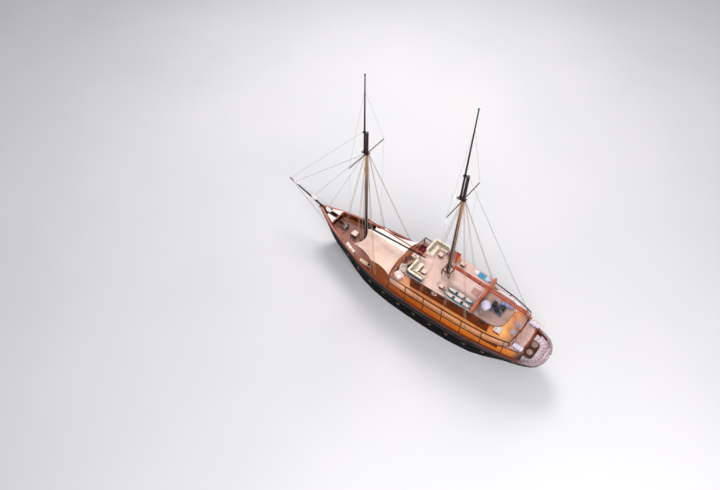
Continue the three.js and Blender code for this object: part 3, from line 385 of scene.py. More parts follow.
hull_black = painted("hull_black", "08090b", "101114", 0.62, 0.0, IOR=1.18)
rail_red = timber("rail_red", "9a4a2e", "62281a", "X", 0.38, 0.12)
cap_red = rail_timber("cap_red", [(0.0, "a58f97"), (0.055, "a58f97"), (0.085, "7e4030"), (0.4, "964628"),
                                  (0.7, "a04c2e"), (0.9, "ae5c4a"), (1.0, "b46450")])
rail_dark = timber("rail_dark", "4a2116", "22100c", "X", 0.4, 0.1)
upright_dark = timber("upright_dark", "4a2116", "24100c", "Z", 0.4, 0.1)
baluster_wood = timber("baluster_wood", "f8c8b0", "dc9c7c", "Z", 0.45, 0.1)
wall_varnish = timber("wall_varnish", "9c4a20", "5e2a14", "X", 0.36, 0.2)
wall_dark = timber("wall_dark", "6e3018", "401a0f", "X", 0.38, 0.15)
trim_gold = timber("trim_gold", "e08c48", "b0602c", "X", 0.42, 0.08)
frame_wood = timber("frame_wood", "7a3c1e", "4c2413", "X", 0.36, 0.2)
bench_wood = timber("bench_wood", "c86a46", "9c4c34", "Y", 0.45, 0.06)
spar_red = timber("spar_red", "b8583a", "7c3424", "X", 0.42, 0.08)
sprit_dark = timber("sprit_dark", "2c1815", "160c0c", "X", 0.42, 0.05)
topmast_red = timber("topmast_red", "341b19", "1c0f0e", "Z", 0.45, 0.06)
# Its colour stops hold painted lamp light: bright orange from the stern well to amidships, where lamps under
# the upper deck light the side decks, pinkish brown at the bow and the stern.
main_planks = planks(
    "main_planks",
    [(0.0, "9c7a80"), (0.08, "b08a84"), (0.12, "ffb060"), (0.27, "ff9f40"), (0.42, "f58f3c"),
     (0.56, "dc7f3e"), (0.66, "b86e44"), (0.76, "ac7a6c"), (0.88, "b07462"), (1.0, "c0704c")],
    "3a1c14",
    lamp_light=[(0.0, UNLIT), (0.09, UNLIT), (0.11, "e07c28"), (0.3, "c8641c"), (0.55, "a04a14"),
                (0.62, "602808"), (0.68, UNLIT)],
)
# Its colour stops hold painted lamp light: bright orange where the sun deck overhangs the side decks, pinkish
# where the deck lies open.
upper_planks = planks(
    "upper_planks",
    [(0.0, "dcc2c2"), (0.11, "d8b4ac"), (0.15, "e6a27a"), (0.2, "ffb868"), (0.32, "ffc070"),
     (0.48, "ffb878"), (0.56, "e8b29c"), (1.0, "e4ac9a")],
    "7a3420",
    seam=0.5,
    lamp_light=[(0.0, UNLIT), (0.13, UNLIT), (0.17, "a04c14"), (0.3, "b45818"), (0.5, "a85418"),
                (0.56, "200c04"), (1.0, UNLIT)],
    glow=((-10.9, 0.95, 4.8), 1.7),
)
sun_planks = planks("sun_planks", [(0.0, "d2b6b2"), (0.34, "dec0b8"), (0.42, "eac8bc"), (1.0, "ecccc2")],
                    "3d3b40", 0.24, 0.66)
roof_planks = planks("roof_planks", [(0.0, "ab8d84"), (1.0, "b0928a")], "3a3035", 0.24, 0.6)
white_cloth = woven("white_cloth", "fbf1ec", "e6d6d0")
cream_cloth = woven("cream_cloth", "fff0d6", "ecd3bc")
# Its starboard half is whiter: painted light falling from the starboard side.
awning_cloth = woven("awning_cloth", "f0d3c4", "dfb6a4", 110, 0.7, "fff6f2")
sail_cloth = woven("sail_cloth", "f8f6f8", "dcd6da", 90, 0.4)
navy_cloth = woven("navy_cloth", "2c3140", "1d2230")
dark_cloth = woven("dark_cloth", "3a302c", "26201f")
bag_cloth = woven("bag_cloth", "8490b4", "5a6480")
leaf_cloth = leafy("leaf_cloth")
tan_rope = laid_rope("tan_rope", "c2a58a", "7f6650")
grey_rope = laid_rope("grey_rope", "8d8a8c", "55545a")
pale_rope = laid_rope("pale_rope", "d9cfc4", "a4968a")
white_gloss = moulded("white_gloss", "f2eff4", "d8d2dc")
canister_white = moulded("canister_white", "d6cce0", "bdb3ca")
strap_grey = moulded("strap_grey", "a8a2ae", "86808c", 0.5)
tube_fabric = moulded("tube_fabric", "f6eef4", "d8ccd6", 0.5)
grey_gloss = moulded("grey_gloss", "6f6a70", "4c494f", 0.45)
teal_gloss = moulded("teal_gloss", "1f7a88", "155864", 0.4)
pale_seat = moulded("pale_seat", "ecd8d4", "ccb4ae", 0.5)
black_gloss = moulded("black_gloss", "1b1a1d", "2b292d", 0.35)
iron = metal("iron", "5a6070", "34363e", 0.45)
steel = metal("steel", "b9bcc4", "83868e", 0.3)
brass = metal("brass", "b98a4c", "7a5a34", 0.35)
warm_lamp = lit("warm_lamp", "ffd08a", 6.0)
glass = window_glass("glass")


# Shapes

SIDES_SHARP = 38                         # degrees between faces above which an edge stays sharp


def angles(count, extra=0):
    """A full turn in that many even steps, and some steps more."""
    return [math.tau * k / count for k in range(count + extra)]


def oval(centre, across, up, count):
    """A closed loop round a centre, from its two half axes."""
    centre, across, up = Vector(centre), Vector(across), Vector(up)
    return [centre + across * math.cos(t) + up * math.sin(t) for t in angles(count, 1)]


def round_edges(piece, width, sharp):
    """A small round on the edges that are sharper than that many degrees."""
    soft = piece.modifiers.new("edges", "BEVEL")
    soft.width = width
    soft.segments = 2
    soft.limit_method = "ANGLE"
    soft.angle_limit = math.radians(sharp)


class Form:
    """A mesh that grows by lofts, tubes and beams, then becomes one piece."""

    def __init__(self):
        self.points = []
        self.faces = []

    def loft(self, rings, closed=True, capped=True):
        """A skin over rings of equal length."""
        start = len(self.points)
        count = len(rings[0])
        for ring in rings:
            self.points.extend(Vector(p) for p in ring)
        for i in range(len(rings) - 1):
            for j in range(count if closed else count - 1):
                a = start + i * count + j
                b = start + i * count + (j + 1) % count
                self.faces.append((a, b, b + count, a + count))
        if closed and capped:
            last = start + (len(rings) - 1) * count
            self.faces.append(tuple(range(start + count - 1, start - 1, -1)))
            self.faces.append(tuple(range(last, last + count)))
        return self

    def tube(self, line, radius, sides=8):
        """A round bar along a line, its radius one number or one for each point."""
        line = [Vector(p) for p in line]
        radii = radius if hasattr(radius, "__len__") else [radius] * len(line)
        rings = []
        side = None
        for i, (middle, r) in enumerate(zip(line, radii)):
            ahead = (line[min(i + 1, len(line) - 1)] - line[max(i - 1, 0)]).normalized()
            side = ahead.orthogonal() if side is None else side - ahead * side.dot(ahead)
            side.normalize()
            up = ahead.cross(side)
            rings.append([middle + (side * math.cos(t) + up * math.sin(t)) * r for t in angles(sides)])
        return self.loft(rings)

    def beam(self, line, width, height, closed=False):
        """A beam of upright section whose top's middle runs along a line."""
        line = [Vector(p) for p in line]
        down = Vector((0, 0, -height))
        rings = []
        for i, middle in enumerate(line):
            before = line[(i - 1) % len(line)] if closed or i else middle
            after = line[(i + 1) % len(line)] if closed or i + 1 < len(line) else middle
            ahead = after - before
            across = Vector((-ahead.y, ahead.x, 0)).normalized() * width / 2
            rings.append([middle + across, middle - across, middle - across + down, middle + across + down])
        if closed:
            rings.append(rings[0])
        return self.loft(rings, capped=not closed)

    def box(self, low, high):
        """A box between two opposite corners."""
        (x0, x1), (y0, y1), (z0, z1) = [sorted(pair) for pair in zip(low, high)]
        return self.prism([(x0, y0), (x1, y0), (x1, y1), (x0, y1)], z0, z1)

    def post(self, x, y, half, z0, z1):
        """An upright square post."""
        return self.box((x - half, y - half, z0), (x + half, y + half, z1))

    def prism(self, outline, z0, z1):
        return self.loft([[(x, y, z) for x, y in outline] for z in (z0, z1)])

    def lathe(self, centre, profile, sides=20, axis=UP):
        """A turned shape: profile is its radius and its height along the axis."""
        turn = UP.rotation_difference(Vector(axis).normalized())
        rings = []
        for radius, height in profile:
            ring = [Vector((radius * math.cos(t), radius * math.sin(t), height)) for t in angles(sides)]
            rings.append([Vector(centre) + turn @ p for p in ring])
        return self.loft(rings)

    def band(self, foot, radius, lip, height, edge, sides=16, axis=UP):
        """A flat band round a bar, its edges chamfered."""
        wide = radius + lip
        profile = [(radius, 0), (wide, edge), (wide, height - edge), (radius, height)]
        return self.lathe(foot, profile, sides, axis)

    def ring(self, centre, radius, thickness, axis=UP, sides=24, round_sides=8):
        """A torus about an axis."""
        turn = UP.rotation_difference(Vector(axis).normalized())
        rings = []
        for t in angles(sides, 1):
            out = Vector((math.cos(t), math.sin(t), 0))
            section = []
            for s in angles(round_sides):
                section.append(out * (radius + thickness * math.cos(s)) + UP * thickness * math.sin(s))
            rings.append([Vector(centre) + turn @ p for p in section])
        return self.loft(rings, capped=False)

    def done(self, name, material, slot, body="ship", bevel=0.0, sharp=SIDES_SHARP):
        """The piece, smooth but for its sharp edges, on its body; slot is not used."""
        mesh = bpy.data.meshes.new(name)
        mesh.from_pydata(self.points, [], self.faces)
        grown = bmesh.new()
        grown.from_mesh(mesh)
        bmesh.ops.recalc_face_normals(grown, faces=grown.faces)
        for face in grown.faces:
            face.smooth = True
        for edge in grown.edges:
            edge.smooth = len(edge.link_faces) != 2 or edge.calc_face_angle(0) < math.radians(sharp)
        grown.to_mesh(mesh)
        grown.free()
        piece = bpy.data.objects.new(name, mesh)
        bpy.context.collection.objects.link(piece)
        if bevel:
            round_edges(piece, bevel, sharp)
        mesh.materials.append(material)
        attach(piece, body)
        return piece


def smooth(line, cuts=4):
    """A curve through the points of a line, with that many steps to each stretch."""
    points = [Vector(p) for p in line]
    points = [points[0] * 2 - points[1], *points, points[-1] * 2 - points[-2]]
    curve = []
    for a, b, c, d in zip(points, points[1:], points[2:], points[3:]):
        t1 = max(1e-4, (b - a).length ** 0.5)
        t2 = t1 + max(1e-4, (c - b).length ** 0.5)
        t3 = t2 + max(1e-4, (d - c).length ** 0.5)
        for k in range(cuts):
            t = t1 + (t2 - t1) * k / cuts
            ab = a.lerp(b, t / t1)
            bc = b.lerp(c, (t - t1) / (t2 - t1))
            cd = c.lerp(d, (t - t2) / (t3 - t2))
            abc = ab.lerp(bc, t / t2)
            bcd = bc.lerp(cd, (t - t1) / (t3 - t1))
            curve.append(abc.lerp(bcd, (t - t1) / (t2 - t1)))
    curve.append(points[-2])
    return curve


def spaced(line, step):
    """Points and directions along a line at even steps, both ends included."""
    line = [Vector(p) for p in line]
    lengths = [(b - a).length for a, b in zip(line, line[1:])]
    count = max(1, round(sum(lengths) / step))
    marks = []
    i, passed = 0, 0.0
    for k in range(count + 1):
        goal = sum(lengths) * k / count
        while i < len(lengths) - 1 and passed + lengths[i] < goal:
            passed += lengths[i]
            i += 1
        share = (goal - passed) / max(lengths[i], 1e-6)
        marks.append((line[i].lerp(line[i + 1], share), (line[i + 1] - line[i]).normalized()))
    return marks


# The CAD nodes are measured with rays, so every piece sits where its carrier is

FAR = 30                                 # rays start that far outside the ship, to its sides and ends
BESIDE = Vector((0.002, 0.001, 0.002))
NODE_SHARP = 30                          # degrees
trees = {}


def hit(node, origin, direction):
    """Where a ray meets a CAD node, or None. A second ray beside it catches one that slips through a seam."""
    if node not in trees:
        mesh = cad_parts[node].data
        points = [vertex.co.copy() for vertex in mesh.vertices]
        trees[node] = BVHTree.FromPolygons(points, [face.vertices[:] for face in mesh.polygons])
    origin, direction = Vector(origin), Vector(direction)
    return trees[node].ray_cast(origin, direction)[0] or trees[node].ray_cast(origin + BESIDE, direction)[0]


def top_of(node, x, y):
    return hit(node, (x, y, 2 * FAR), (0, 0, -1)).z


def side_of(node, x, z, side=1):
    found = hit(node, (x, side * FAR, z), (0, -side, 0))
    return found.y if found else 0.0


def end_of(node, y, z, facing):
    """Where a node's front (1) or back (-1) is met, or None."""
    return hit(node, (facing * FAR, y, z), (-facing, 0, 0))


def even_shading():
    """Nodes that weld a mesh and shade it smooth, but for its sharp edges."""
    group = bpy.data.node_groups.new("even_shading", "GeometryNodeTree")
    for direction in ("INPUT", "OUTPUT"):
        group.interface.new_socket("Geometry", in_out=direction, socket_type="NodeSocketGeometry")
    start = group.nodes.new("NodeGroupInput")
    end = group.nodes.new("NodeGroupOutput")
    strip = group.nodes.new("GeometryNodeRemoveAttribute")
    strip.inputs["Name"].default_value = "custom_normal"
    weld = group.nodes.new("GeometryNodeMergeByDistance")
    weld.inputs["Distance"].default_value = 0.0005
    faces = group.nodes.new("GeometryNodeSetShadeSmooth")
    faces.domain = "FACE"
    edges = group.nodes.new("GeometryNodeSetShadeSmooth")
    edges.domain = "EDGE"
    edges.inputs["Shade Smooth"].default_value = False
    angle = group.nodes.new("GeometryNodeInputMeshEdgeAngle")
    is_sharp = group.nodes.new("FunctionNodeCompare")
    is_sharp.operation = "GREATER_THAN"
    is_sharp.inputs[1].default_value = math.radians(NODE_SHARP)
    chain = (start, strip, weld, faces, edges)
    for before, after in zip(chain, chain[1:]):
        group.links.new(before.outputs[0], after.inputs["Geometry"])
    group.links.new(angle.outputs["Unsigned Angle"], is_sharp.inputs[0])
    group.links.new(is_sharp.outputs[0], edges.inputs["Selection"])
    group.links.new(edges.outputs[0], end.inputs[0])
    return group


shading_group = even_shading()


def paint_node(node, material, bevel=0.008):
    """A CAD node that stays shown: a real material, and edges with a small round."""
    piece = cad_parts[node]
    piece.data.materials.clear()
    piece.data.materials.append(material)
    piece.modifiers.new("weld", "NODES").node_group = shading_group
    if bevel:
        round_edges(piece, bevel, NODE_SHARP)


# Floor at the waterline

FLOOR_HALF = 260


def add_floor():
    sheet = Form().box((-FLOOR_HALF, -FLOOR_HALF, -0.2), (FLOOR_HALF, FLOOR_HALF, 0.0))
    floor = bpy.data.objects.new("floor", bpy.data.meshes.new("floor"))
    floor.data.from_pydata(sheet.points, [], sheet.faces)
    paint = Paint("pale_floor", 0.8)
    paint.colour(paint.tinted(paint.noise(0.05), "dcdde0", "d6d8dc"))
    floor.data.materials.append(paint.material)
    bpy.context.collection.objects.link(floor)


add_floor()


# Hull: a smooth skin over the CAD hull, its lined bulwarks and its planked deck

RAIL_DEPTH = 0.085
SKIN_STAND = 0.012                       # how far skin and planks stand off the CAD hull
hull_low, hull_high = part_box("hull")
hull_middle = (hull_low.x + hull_high.x) / 2
hull_half = (hull_high.x - hull_low.x) / 2


def stations(count, reach=0.999):
    """Places along the hull from bow to stern, closer together near its ends."""
    turns = np.linspace(math.pi / 2, -math.pi / 2, count)
    return [hull_middle + hull_half * reach * math.sin(t) for t in turns]


def crest_of(node):
    """Height of a CAD node's top as a function of x."""
    crest = {}
    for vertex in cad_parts[node].data.vertices:
        x = round(vertex.co.x, 2)
        crest[x] = max(crest.get(x, vertex.co.z), vertex.co.z)
    xs = sorted(crest)
    heights = [crest[x] for x in xs]
    return lambda x: float(np.interp(x, xs, heights))


cap_top = crest_of("cap_rail")


UNDER_CAP = 0.15                         # where the sides are measured, below the cap rail's top


def hull_edge(x):
    """Half the hull's width just below the cap rail."""
    return side_of("hull", x, cap_top(x) - UNDER_CAP)


def bulwark_inside(x, z):
    return hit("hull", (x, 0.2, z), (0, 1, 0)).y


def bulwark_head(x):
    return bulwark_inside(x, cap_top(x) - UNDER_CAP)


def deck_top(x):
    return top_of("hull", x, 0.25)


def deck_half(x):
    """Half the deck's width between the bulwarks."""
    return bulwark_inside(x, deck_top(x) + 0.05)


def both_sides(port):
    """A port line as a closed loop round both sides."""
    return list(port) + [Vector((p.x, -p.y, p.z)) for p in reversed(port[1:-1])]


SKIN_LEVELS = 16
WELL_FRONT = 13.3                        # the open deck's ends
WELL_END = -15.2
STRAKES = ((0.42, 0.045), (1.0, 0.035))  # depth below the cap rail, and radius
RIB_HALF = 0.05
RIB_DEPTH = 0.085


def hull_skin():
    rows = []
    for level in range(SKIN_LEVELS):
        share = (level / (SKIN_LEVELS - 1)) ** 0.8
        line = []
        for x in stations(34):
            low = hit("hull", (x, 0.01, -9), UP).z + 0.02
            high = cap_top(x) - RAIL_DEPTH - 0.005
            z = low + (high - low) * share
            line.append((x, side_of("hull", x, z), z))
        rows.append([skin_point(p) for p in smooth(line, 3)])
    rings = []
    for i in range(len(rows[0])):
        port = [row[i] for row in reversed(rows)]
        rings.append(port + [Vector((p.x, -p.y, p.z)) for p in reversed(port)])
    form = Form().loft(rings, closed=False)
    count = len(rings[0])
    form.faces.append(tuple(range(count)))
    form.faces.append(tuple(range(len(form.points) - count, len(form.points))))
    form.done("hull_skin", hull_black, "black_paint", sharp=50)


def skin_point(p):
    """A point of the skin, kept just outside the CAD hull."""
    solid = side_of("hull", p.x, p.z)
    return Vector((p.x, max(p.y, solid or p.y) + SKIN_STAND, p.z))


def hull_rails():
    """Two half-round rubbing strakes along each side and round the stern, and the stem."""
    strakes = Form()
    for drop, radius in STRAKES:
        port = []
        for x in stations(34, 0.985):
            z = cap_top(x) - drop
            port.append(Vector((x, side_of("hull", x, z) + SKIN_STAND, z)))
        stern_z = cap_top(hull_low.x) - drop
        wide = port[-1].y * 0.75
        stern = []
        for y in np.linspace(wide, -wide, 7):
            stern.append((end_of("hull", y, stern_z, -1).x - SKIN_STAND, y, stern_z))
        starboard = [(p.x, -p.y, p.z) for p in reversed(port)]
        strakes.tube(smooth([*port, *stern, *starboard], 3), radius)
    strakes.done("rubbing_strakes", painted("strake_paint", "6a5f5c", "4a4243", 0.4), "black_paint")
    heights = np.linspace(-1.9, cap_top(hull_high.x) - 0.1, 14)
    stem = [(end_of("hull", 0, z, 1).x + 0.02, 0, z) for z in heights]
    Form().tube(smooth(stem, 2), 0.1).done("stem", hull_black, "black_paint")


def bulwark_linings():
    for name, side in SIDES.items():
        form = Form()
        low, high = [], []
        for x in np.linspace(WELL_FRONT, WELL_END, 60):
            low.append((x, side * (deck_half(x) - SKIN_STAND), deck_top(x)))
            high.append((x, side * (bulwark_head(x) - SKIN_STAND), cap_top(x) - RAIL_DEPTH))
        form.loft([low, high], closed=False)
        for x in np.arange(12.6, -13.6, -1.1):
            x0, x1 = x - RIB_HALF, x + RIB_HALF
            ends = []
            for y, z in ((deck_half(x), deck_top(x)), (bulwark_head(x), cap_top(x) - RAIL_DEPTH)):
                outer, inner = side * y, side * (y - RIB_DEPTH)
                ends.append([(x0, outer, z), (x1, outer, z), (x1, inner, z), (x0, inner, z)])
            form.loft(ends)
        form.done(f"bulwark_lining_{name}", wall_dark, "red_brown_paint", bevel=0.01)


def main_deck():
    rings = []
    waterways = Form()
    edges = {side: [] for side in SIDES.values()}
    for x in np.linspace(WELL_FRONT, WELL_END, 70):
        half = deck_half(x)
        z = deck_top(x)
        rings.append([(x, half * t, z + SKIN_STAND) for t in np.linspace(1, -1, 9)])
        for side, line in edges.items():
            line.append((x, side * (half - 0.1), z + 0.035))
    Form().loft(rings, closed=False).done("main_deck_planks", main_planks, "teak_deck")
    for line in edges.values():
        waterways.beam(line, 0.18, 0.03)
    waterways.done("waterways", trim_gold, "varnished_wood", bevel=0.006)


def cap_rail():
    port = [(x, max(hull_edge(x) - 0.06, 0), cap_top(x)) for x in stations(40)]
    port = [(hull_high.x + 0.04, 0, cap_top(hull_high.x)), *port[1:-1], (hull_low.x, 0, cap_top(hull_low.x))]
    rail = Form().beam(both_sides(smooth(port, 3)), 0.26, RAIL_DEPTH, closed=True)
    rail.box((15.55, -0.28, cap_top(15.7) - RAIL_DEPTH), (16.1, 0.28, cap_top(15.7) + 0.004))
    piece = rail.done("cap_rail_moulding", cap_red, "red_brown_paint", bevel=0.025)
    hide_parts("cap_rail")


PORTHOLE_XS = (9.6, 7.4, 5.2, 3.0, 0.8, -1.4, -3.6, -5.8, -8.0, -10.2)
PORTHOLE_DEPTH = 1.75                    # below the cap rail


def portholes():
    rims, panes = Form(), Form()
    for x in PORTHOLE_XS:
        for side in SIDES.values():
            z = cap_top(x) - PORTHOLE_DEPTH
            y = side_of("hull", x, z) + SKIN_STAND
            axis = Vector((0, side, 0.12))
            rims.ring((x, side * y, z), 0.17, 0.03, axis)
            panes.lathe((x, side * (y - 0.01), z), [(0.16, 0), (0.15, 0.012)], 24, axis)
    rims.done("porthole_rims", brass, "bronze")
    panes.done("porthole_glass", glass, "grey_metal")


hull_skin()
hull_rails()
bulwark_linings()
main_deck()
cap_rail()
portholes()
paint_node("hull", hull_black, 0)
paint_node("rudder", hull_black)
paint_node("propeller", brass, 0.004)


# Upper deck: fascia, rails with turned balusters, posts below

RAIL_HEIGHT = 1.0
RAIL_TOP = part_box("upper_rail_port")[1].z
UPPER_Z = RAIL_TOP - RAIL_HEIGHT
EDGE_Z = UPPER_Z - 0.06                  # where the deck's edge is measured
upper_low, upper_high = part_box("upper_deck")
HAND_RAIL_HALF = 0.045
RAIL_INSET = 0.08
LOW_RAIL = UPPER_Z + 0.16
BALUSTER_STEP = 0.13
BALUSTER = ((0.024, 0), (0.024, 0.12), (0.014, 0.16), (0.026, 0.3), (0.03, 0.42), (0.016, 0.6),
            (0.022, 0.8), (0.014, 0.86), (0.022, 0.9), (0.022, 1.0))      # radius, share of its height


def rail_line(name, side):
    """The hand rail's middle along one side, or across the front or the back."""
    node = f"upper_rail_{name}"
    low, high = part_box(node)
    z = RAIL_TOP - 0.03
    inset = side * HAND_RAIL_HALF
    if name in SIDES:
        xs = np.linspace(high.x - RAIL_INSET, low.x + RAIL_INSET, 20)
        return [(x, side_of(node, x, z, side) - inset, RAIL_TOP) for x in xs]
    ys = np.linspace(low.y + RAIL_INSET, high.y - RAIL_INSET, 16)
    return [(end_of(node, y, z, side).x - inset, y, RAIL_TOP) for y in ys]


def upper_rails():
    for name, side in (*SIDES.items(), ("front", 1), ("aft", -1)):
        line = rail_line(name, side)
        wood = rail_red if name == "front" else rail_dark
        paint_node(f"upper_rail_{name}", wood, 0.012)
        form = Form()
        foot, height = LOW_RAIL - 0.02, RAIL_TOP - LOW_RAIL - 0.04
        for middle, _ in spaced(line, BALUSTER_STEP)[1:-1]:
            form.lathe((middle.x, middle.y, foot), [(r, h * height) for r, h in BALUSTER], 6)
        form.done(f"balusters_{name}", baluster_wood, "varnished_wood")
        cap = Form().beam([(x, y, z + 0.022) for x, y, z in line], 0.13, 0.03)
        cap.done(f"hand_rail_{name}", wood, "dark_wood", bevel=0.01)


def upper_fascia():
    form, ends = Form(), Form()
    xs = np.linspace(upper_high.x - 0.3, upper_low.x + 0.3, 50)
    ys = np.linspace(upper_low.y * 0.54, upper_high.y * 0.54, 17)
    for side in SIDES.values():
        stand = side * SKIN_STAND
        line = [(x, side_of("upper_deck", x, EDGE_Z, side) + stand, UPPER_Z + 0.015) for x in xs]
        form.beam(line, 0.05, 0.16)
        line = [(end_of("upper_deck", y, EDGE_Z, side).x + stand, y, UPPER_Z + 0.015) for y in ys]
        ends.beam(line, 0.05, 0.16)
    form.done("upper_deck_fascia", rail_dark, "dark_wood", bevel=0.012)
    sill = np.linspace(-1.95, 1.95, 15)
    ends.beam([(end_of("upper_deck", y, EDGE_Z, -1).x + 0.07, y, UPPER_Z + 0.056) for y in sill], 0.125, 0.06)
    ends.done("upper_deck_ends", rail_red, "red_brown_paint", bevel=0.012)


paint_node("upper_deck", upper_planks)
for name in SIDES:
    paint_node(f"deck_posts_{name}", upright_dark, 0.012)
upper_rails()
upper_fascia()


# Deck houses: windows, frames and doors

def spans_where(values, is_open):
    """The stretches of values over which is_open holds."""
    spans, start, last = [], None, None
    for value in values:
        if is_open(value):
            start = value if start is None else start
            last = value
        elif start is not None:
            spans.append((start, last))
            start = None
    return spans


WINDOW_Z = {"main_house": 3.78, "upper_house": 6.1}
SEARCH_STEP = 0.02                       # between the rays that find a wall's openings
FRAME_WIDE = 0.075
FRAME_PROUD = 0.03
KNOB = ((0.012, 0), (0.012, 0.05), (0.028, 0.06), (0.02, 0.09))


def join(node, at, is_open, along, up, sill):
    """The frames of one wall's openings, and panes in those that start above the sill.

    at gives the wall's point for a place along it, how far out and a height; along and up are
    what is searched for openings.
    """
    frames, panes = Form(), Form()
    for start, end in spans_where(np.arange(*along, SEARCH_STEP), is_open):
        middle = (start + end) / 2
        heights = spans_where(np.arange(*up, SEARCH_STEP), lambda z: is_open(middle, z))
        z0, z1 = max(heights, key=lambda span: span[1] - span[0])
        for z, height in ((z1 + FRAME_WIDE, FRAME_WIDE), (z0, FRAME_WIDE + 0.02)):
            line = [at(place, FRAME_PROUD / 2, z) for place in (start - FRAME_WIDE, end + FRAME_WIDE)]
            frames.beam(line, FRAME_PROUD + 0.03, height)
        for a, b in ((start - FRAME_WIDE, start), (end, end + FRAME_WIDE)):
            corners = [at(a, 0, 0), at(b, 0, 0), at(b, FRAME_PROUD, 0), at(a, FRAME_PROUD, 0)]
            frames.prism([(p.x, p.y) for p in corners], z0, z1)
        if z0 > sill:
            panes.beam([at(start, -0.045, z1), at(end, -0.045, z1)], 0.012, z1 - z0)
            frames.beam([at(middle - 0.015, -0.04, z1), at(middle + 0.015, -0.04, z1)], 0.03, z1 - z0)
    frames.done(f"{node}_frames", frame_wood, "varnished_wood", bevel=0.008)
    panes.done(f"{node}_glass", glass, "grey_metal")


def side_wall(house, name, side):
    node = f"{house}_wall_{name}"
    low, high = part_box(node)
    paint_node(node, wall_varnish if house == "main_house" else wall_dark, 0)

    def is_open(x, z=WINDOW_Z[house]):
        return not side_of(node, x, z, side)

    def at(x, out, z):
        return Vector((x, side_of(node, x, high.z - 0.05, side) + side * out, z))

    join(node, at, is_open, (low.x + 0.1, high.x - 0.1), (low.z + 0.1, high.z - 0.1), low.z)


def end_wall(house, name, facing):
    node = f"{house}_wall_{name}"
    low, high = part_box(node)
    face = high.x if facing > 0 else low.x
    paint_node(node, wall_varnish, 0)

    def is_open(y, z=WINDOW_Z[house] + 0.2):
        return end_of(node, y, z, facing) is None

    def at(y, out, z):
        return Vector((face + facing * out, y, z))

    join(node, at, is_open, (low.y + 0.1, high.y - 0.1), (low.z + 0.02, high.z), low.z + 0.5)


for house in WINDOW_Z:
    for name, side in SIDES.items():
        side_wall(house, name, side)
    end_wall(house, "front", 1)
    end_wall(house, "aft", -1)


def door_panels(node, facing):
    """Two raised panels and a handle on a door's outer face."""
    paint_node(node, wall_dark, 0.006)
    low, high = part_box(node)
    face = high.x if facing > 0 else low.x
    form = Form()
    for z0, z1 in ((low.z + 0.15, low.z + 0.85), (low.z + 0.98, high.z - 0.15)):
        form.box((face - facing * 0.01, low.y + 0.13, z0), (face + facing * 0.014, high.y - 0.13, z1))
    form.done(f"{node}_panels", wall_varnish, "varnished_wood", node, bevel=0.01)
    knob = Form().lathe((face, high.y - 0.08, low.z + 0.95), KNOB, 12, (facing, 0, 0))
    knob.done(f"{node}_knob", brass, "bronze", node)


door_panels("main_house_door", 1)
door_panels("upper_house_door", -1)


# Sun deck and aft roof

SUN_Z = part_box("sofa_port")[0].z
ROOF_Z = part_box("aft_roof")[1].z
paint_node("sun_deck", sun_planks)
paint_node("aft_roof", roof_planks)
paint_node("cross_bench", bench_wood, 0.015)
paint_node("sun_deck_stairs", upright_dark)
paint_node("companion", rail_red, 0.015)


# Stuffed covers: one block and one pillow are blown up as cloth, and every cushion is fitted from them

COVER_FRAMES = 20
COVER_PRESSURE = 4.0
COVER_SWELL = 0.07                       # the most a point of a cover may move, in its own sizes


def stuffed(name, size, voxel):
    """A block's cover under pressure: its points as shares of the block's box, and its faces."""
    piece = bpy.data.objects.new(name, bpy.data.meshes.new(name))
    bpy.context.collection.objects.link(piece)
    grown = bmesh.new()
    bmesh.ops.create_cube(grown, size=1.0)
    bmesh.ops.scale(grown, vec=size, verts=grown.verts)
    grown.to_mesh(piece.data)
    grown.free()
    remesh = piece.modifiers.new("remesh", "REMESH")
    remesh.mode = "VOXEL"
    remesh.voxel_size = voxel
    piece.data = evaluated(piece)
    piece.modifiers.clear()
    plain = points_of(piece.data)
    faces = [tuple(face.vertices) for face in piece.data.polygons]
    swollen = blown_up(piece, plain)
    low, high = swollen.min(0), swollen.max(0)
    bpy.data.objects.remove(piece)
    return (swollen - low) / (high - low), faces


def evaluated(piece):
    return bpy.data.meshes.new_from_object(piece.evaluated_get(bpy.context.evaluated_depsgraph_get()))


def points_of(mesh):
    return np.array([vertex.co[:] for vertex in mesh.vertices])


def blown_up(piece, plain):
    cloth = piece.modifiers.new("cover", "CLOTH")
    cloth.settings.quality = 6
    cloth.settings.mass = 0.3
    cloth.settings.tension_stiffness = 12
    cloth.settings.bending_stiffness = 0.4
    cloth.settings.use_pressure = True
    cloth.settings.uniform_pressure_force = COVER_PRESSURE
    cloth.settings.effector_weights.gravity = 0
    cloth.point_cache.frame_start = 1
    cloth.point_cache.frame_end = COVER_FRAMES
    for step in range(1, COVER_FRAMES + 1):
        bpy.context.scene.frame_set(step)
    moved = points_of(evaluated(piece)) - plain
    bpy.context.scene.frame_set(1)
    lengths = np.linalg.norm(moved, axis=1, keepdims=True)
    return plain + moved * np.minimum(1, COVER_SWELL / np.maximum(lengths, 1e-9))


block_cover = stuffed("block_cover", (1.0, 1.0, 0.26), 0.055)
pillow_cover = stuffed("pillow_cover", (1.0, 1.0, 0.14), 0.07)


SEAM_HEIGHT = 0.86                       # where the piping runs, as a share of the thickness


def cushion(form, corners, thickness, cover=block_cover, piping=0.008):
    """A stuffed cover fitted over four corners, counter-clockwise as seen from its outer side."""
    a, b, c, d = [Vector(p) for p in corners]
    up = (b - a).cross(d - a).normalized() * thickness
    start = len(form.points)

    def at(u, v, w):
        return a.lerp(b, u).lerp(d.lerp(c, u), v) + up * w

    points, faces = cover
    form.points.extend(at(*p) for p in points.tolist())
    form.faces.extend(tuple(start + i for i in face) for face in faces)
    if piping:
        u, v = 0.02 / (b - a).length, 0.02 / (d - a).length
        corners = [(u, v), (1 - u, v), (1 - u, 1 - v), (u, 1 - v), (u, v)]
        form.tube([at(*corner, SEAM_HEIGHT) for corner in corners], piping, 5)
    return form


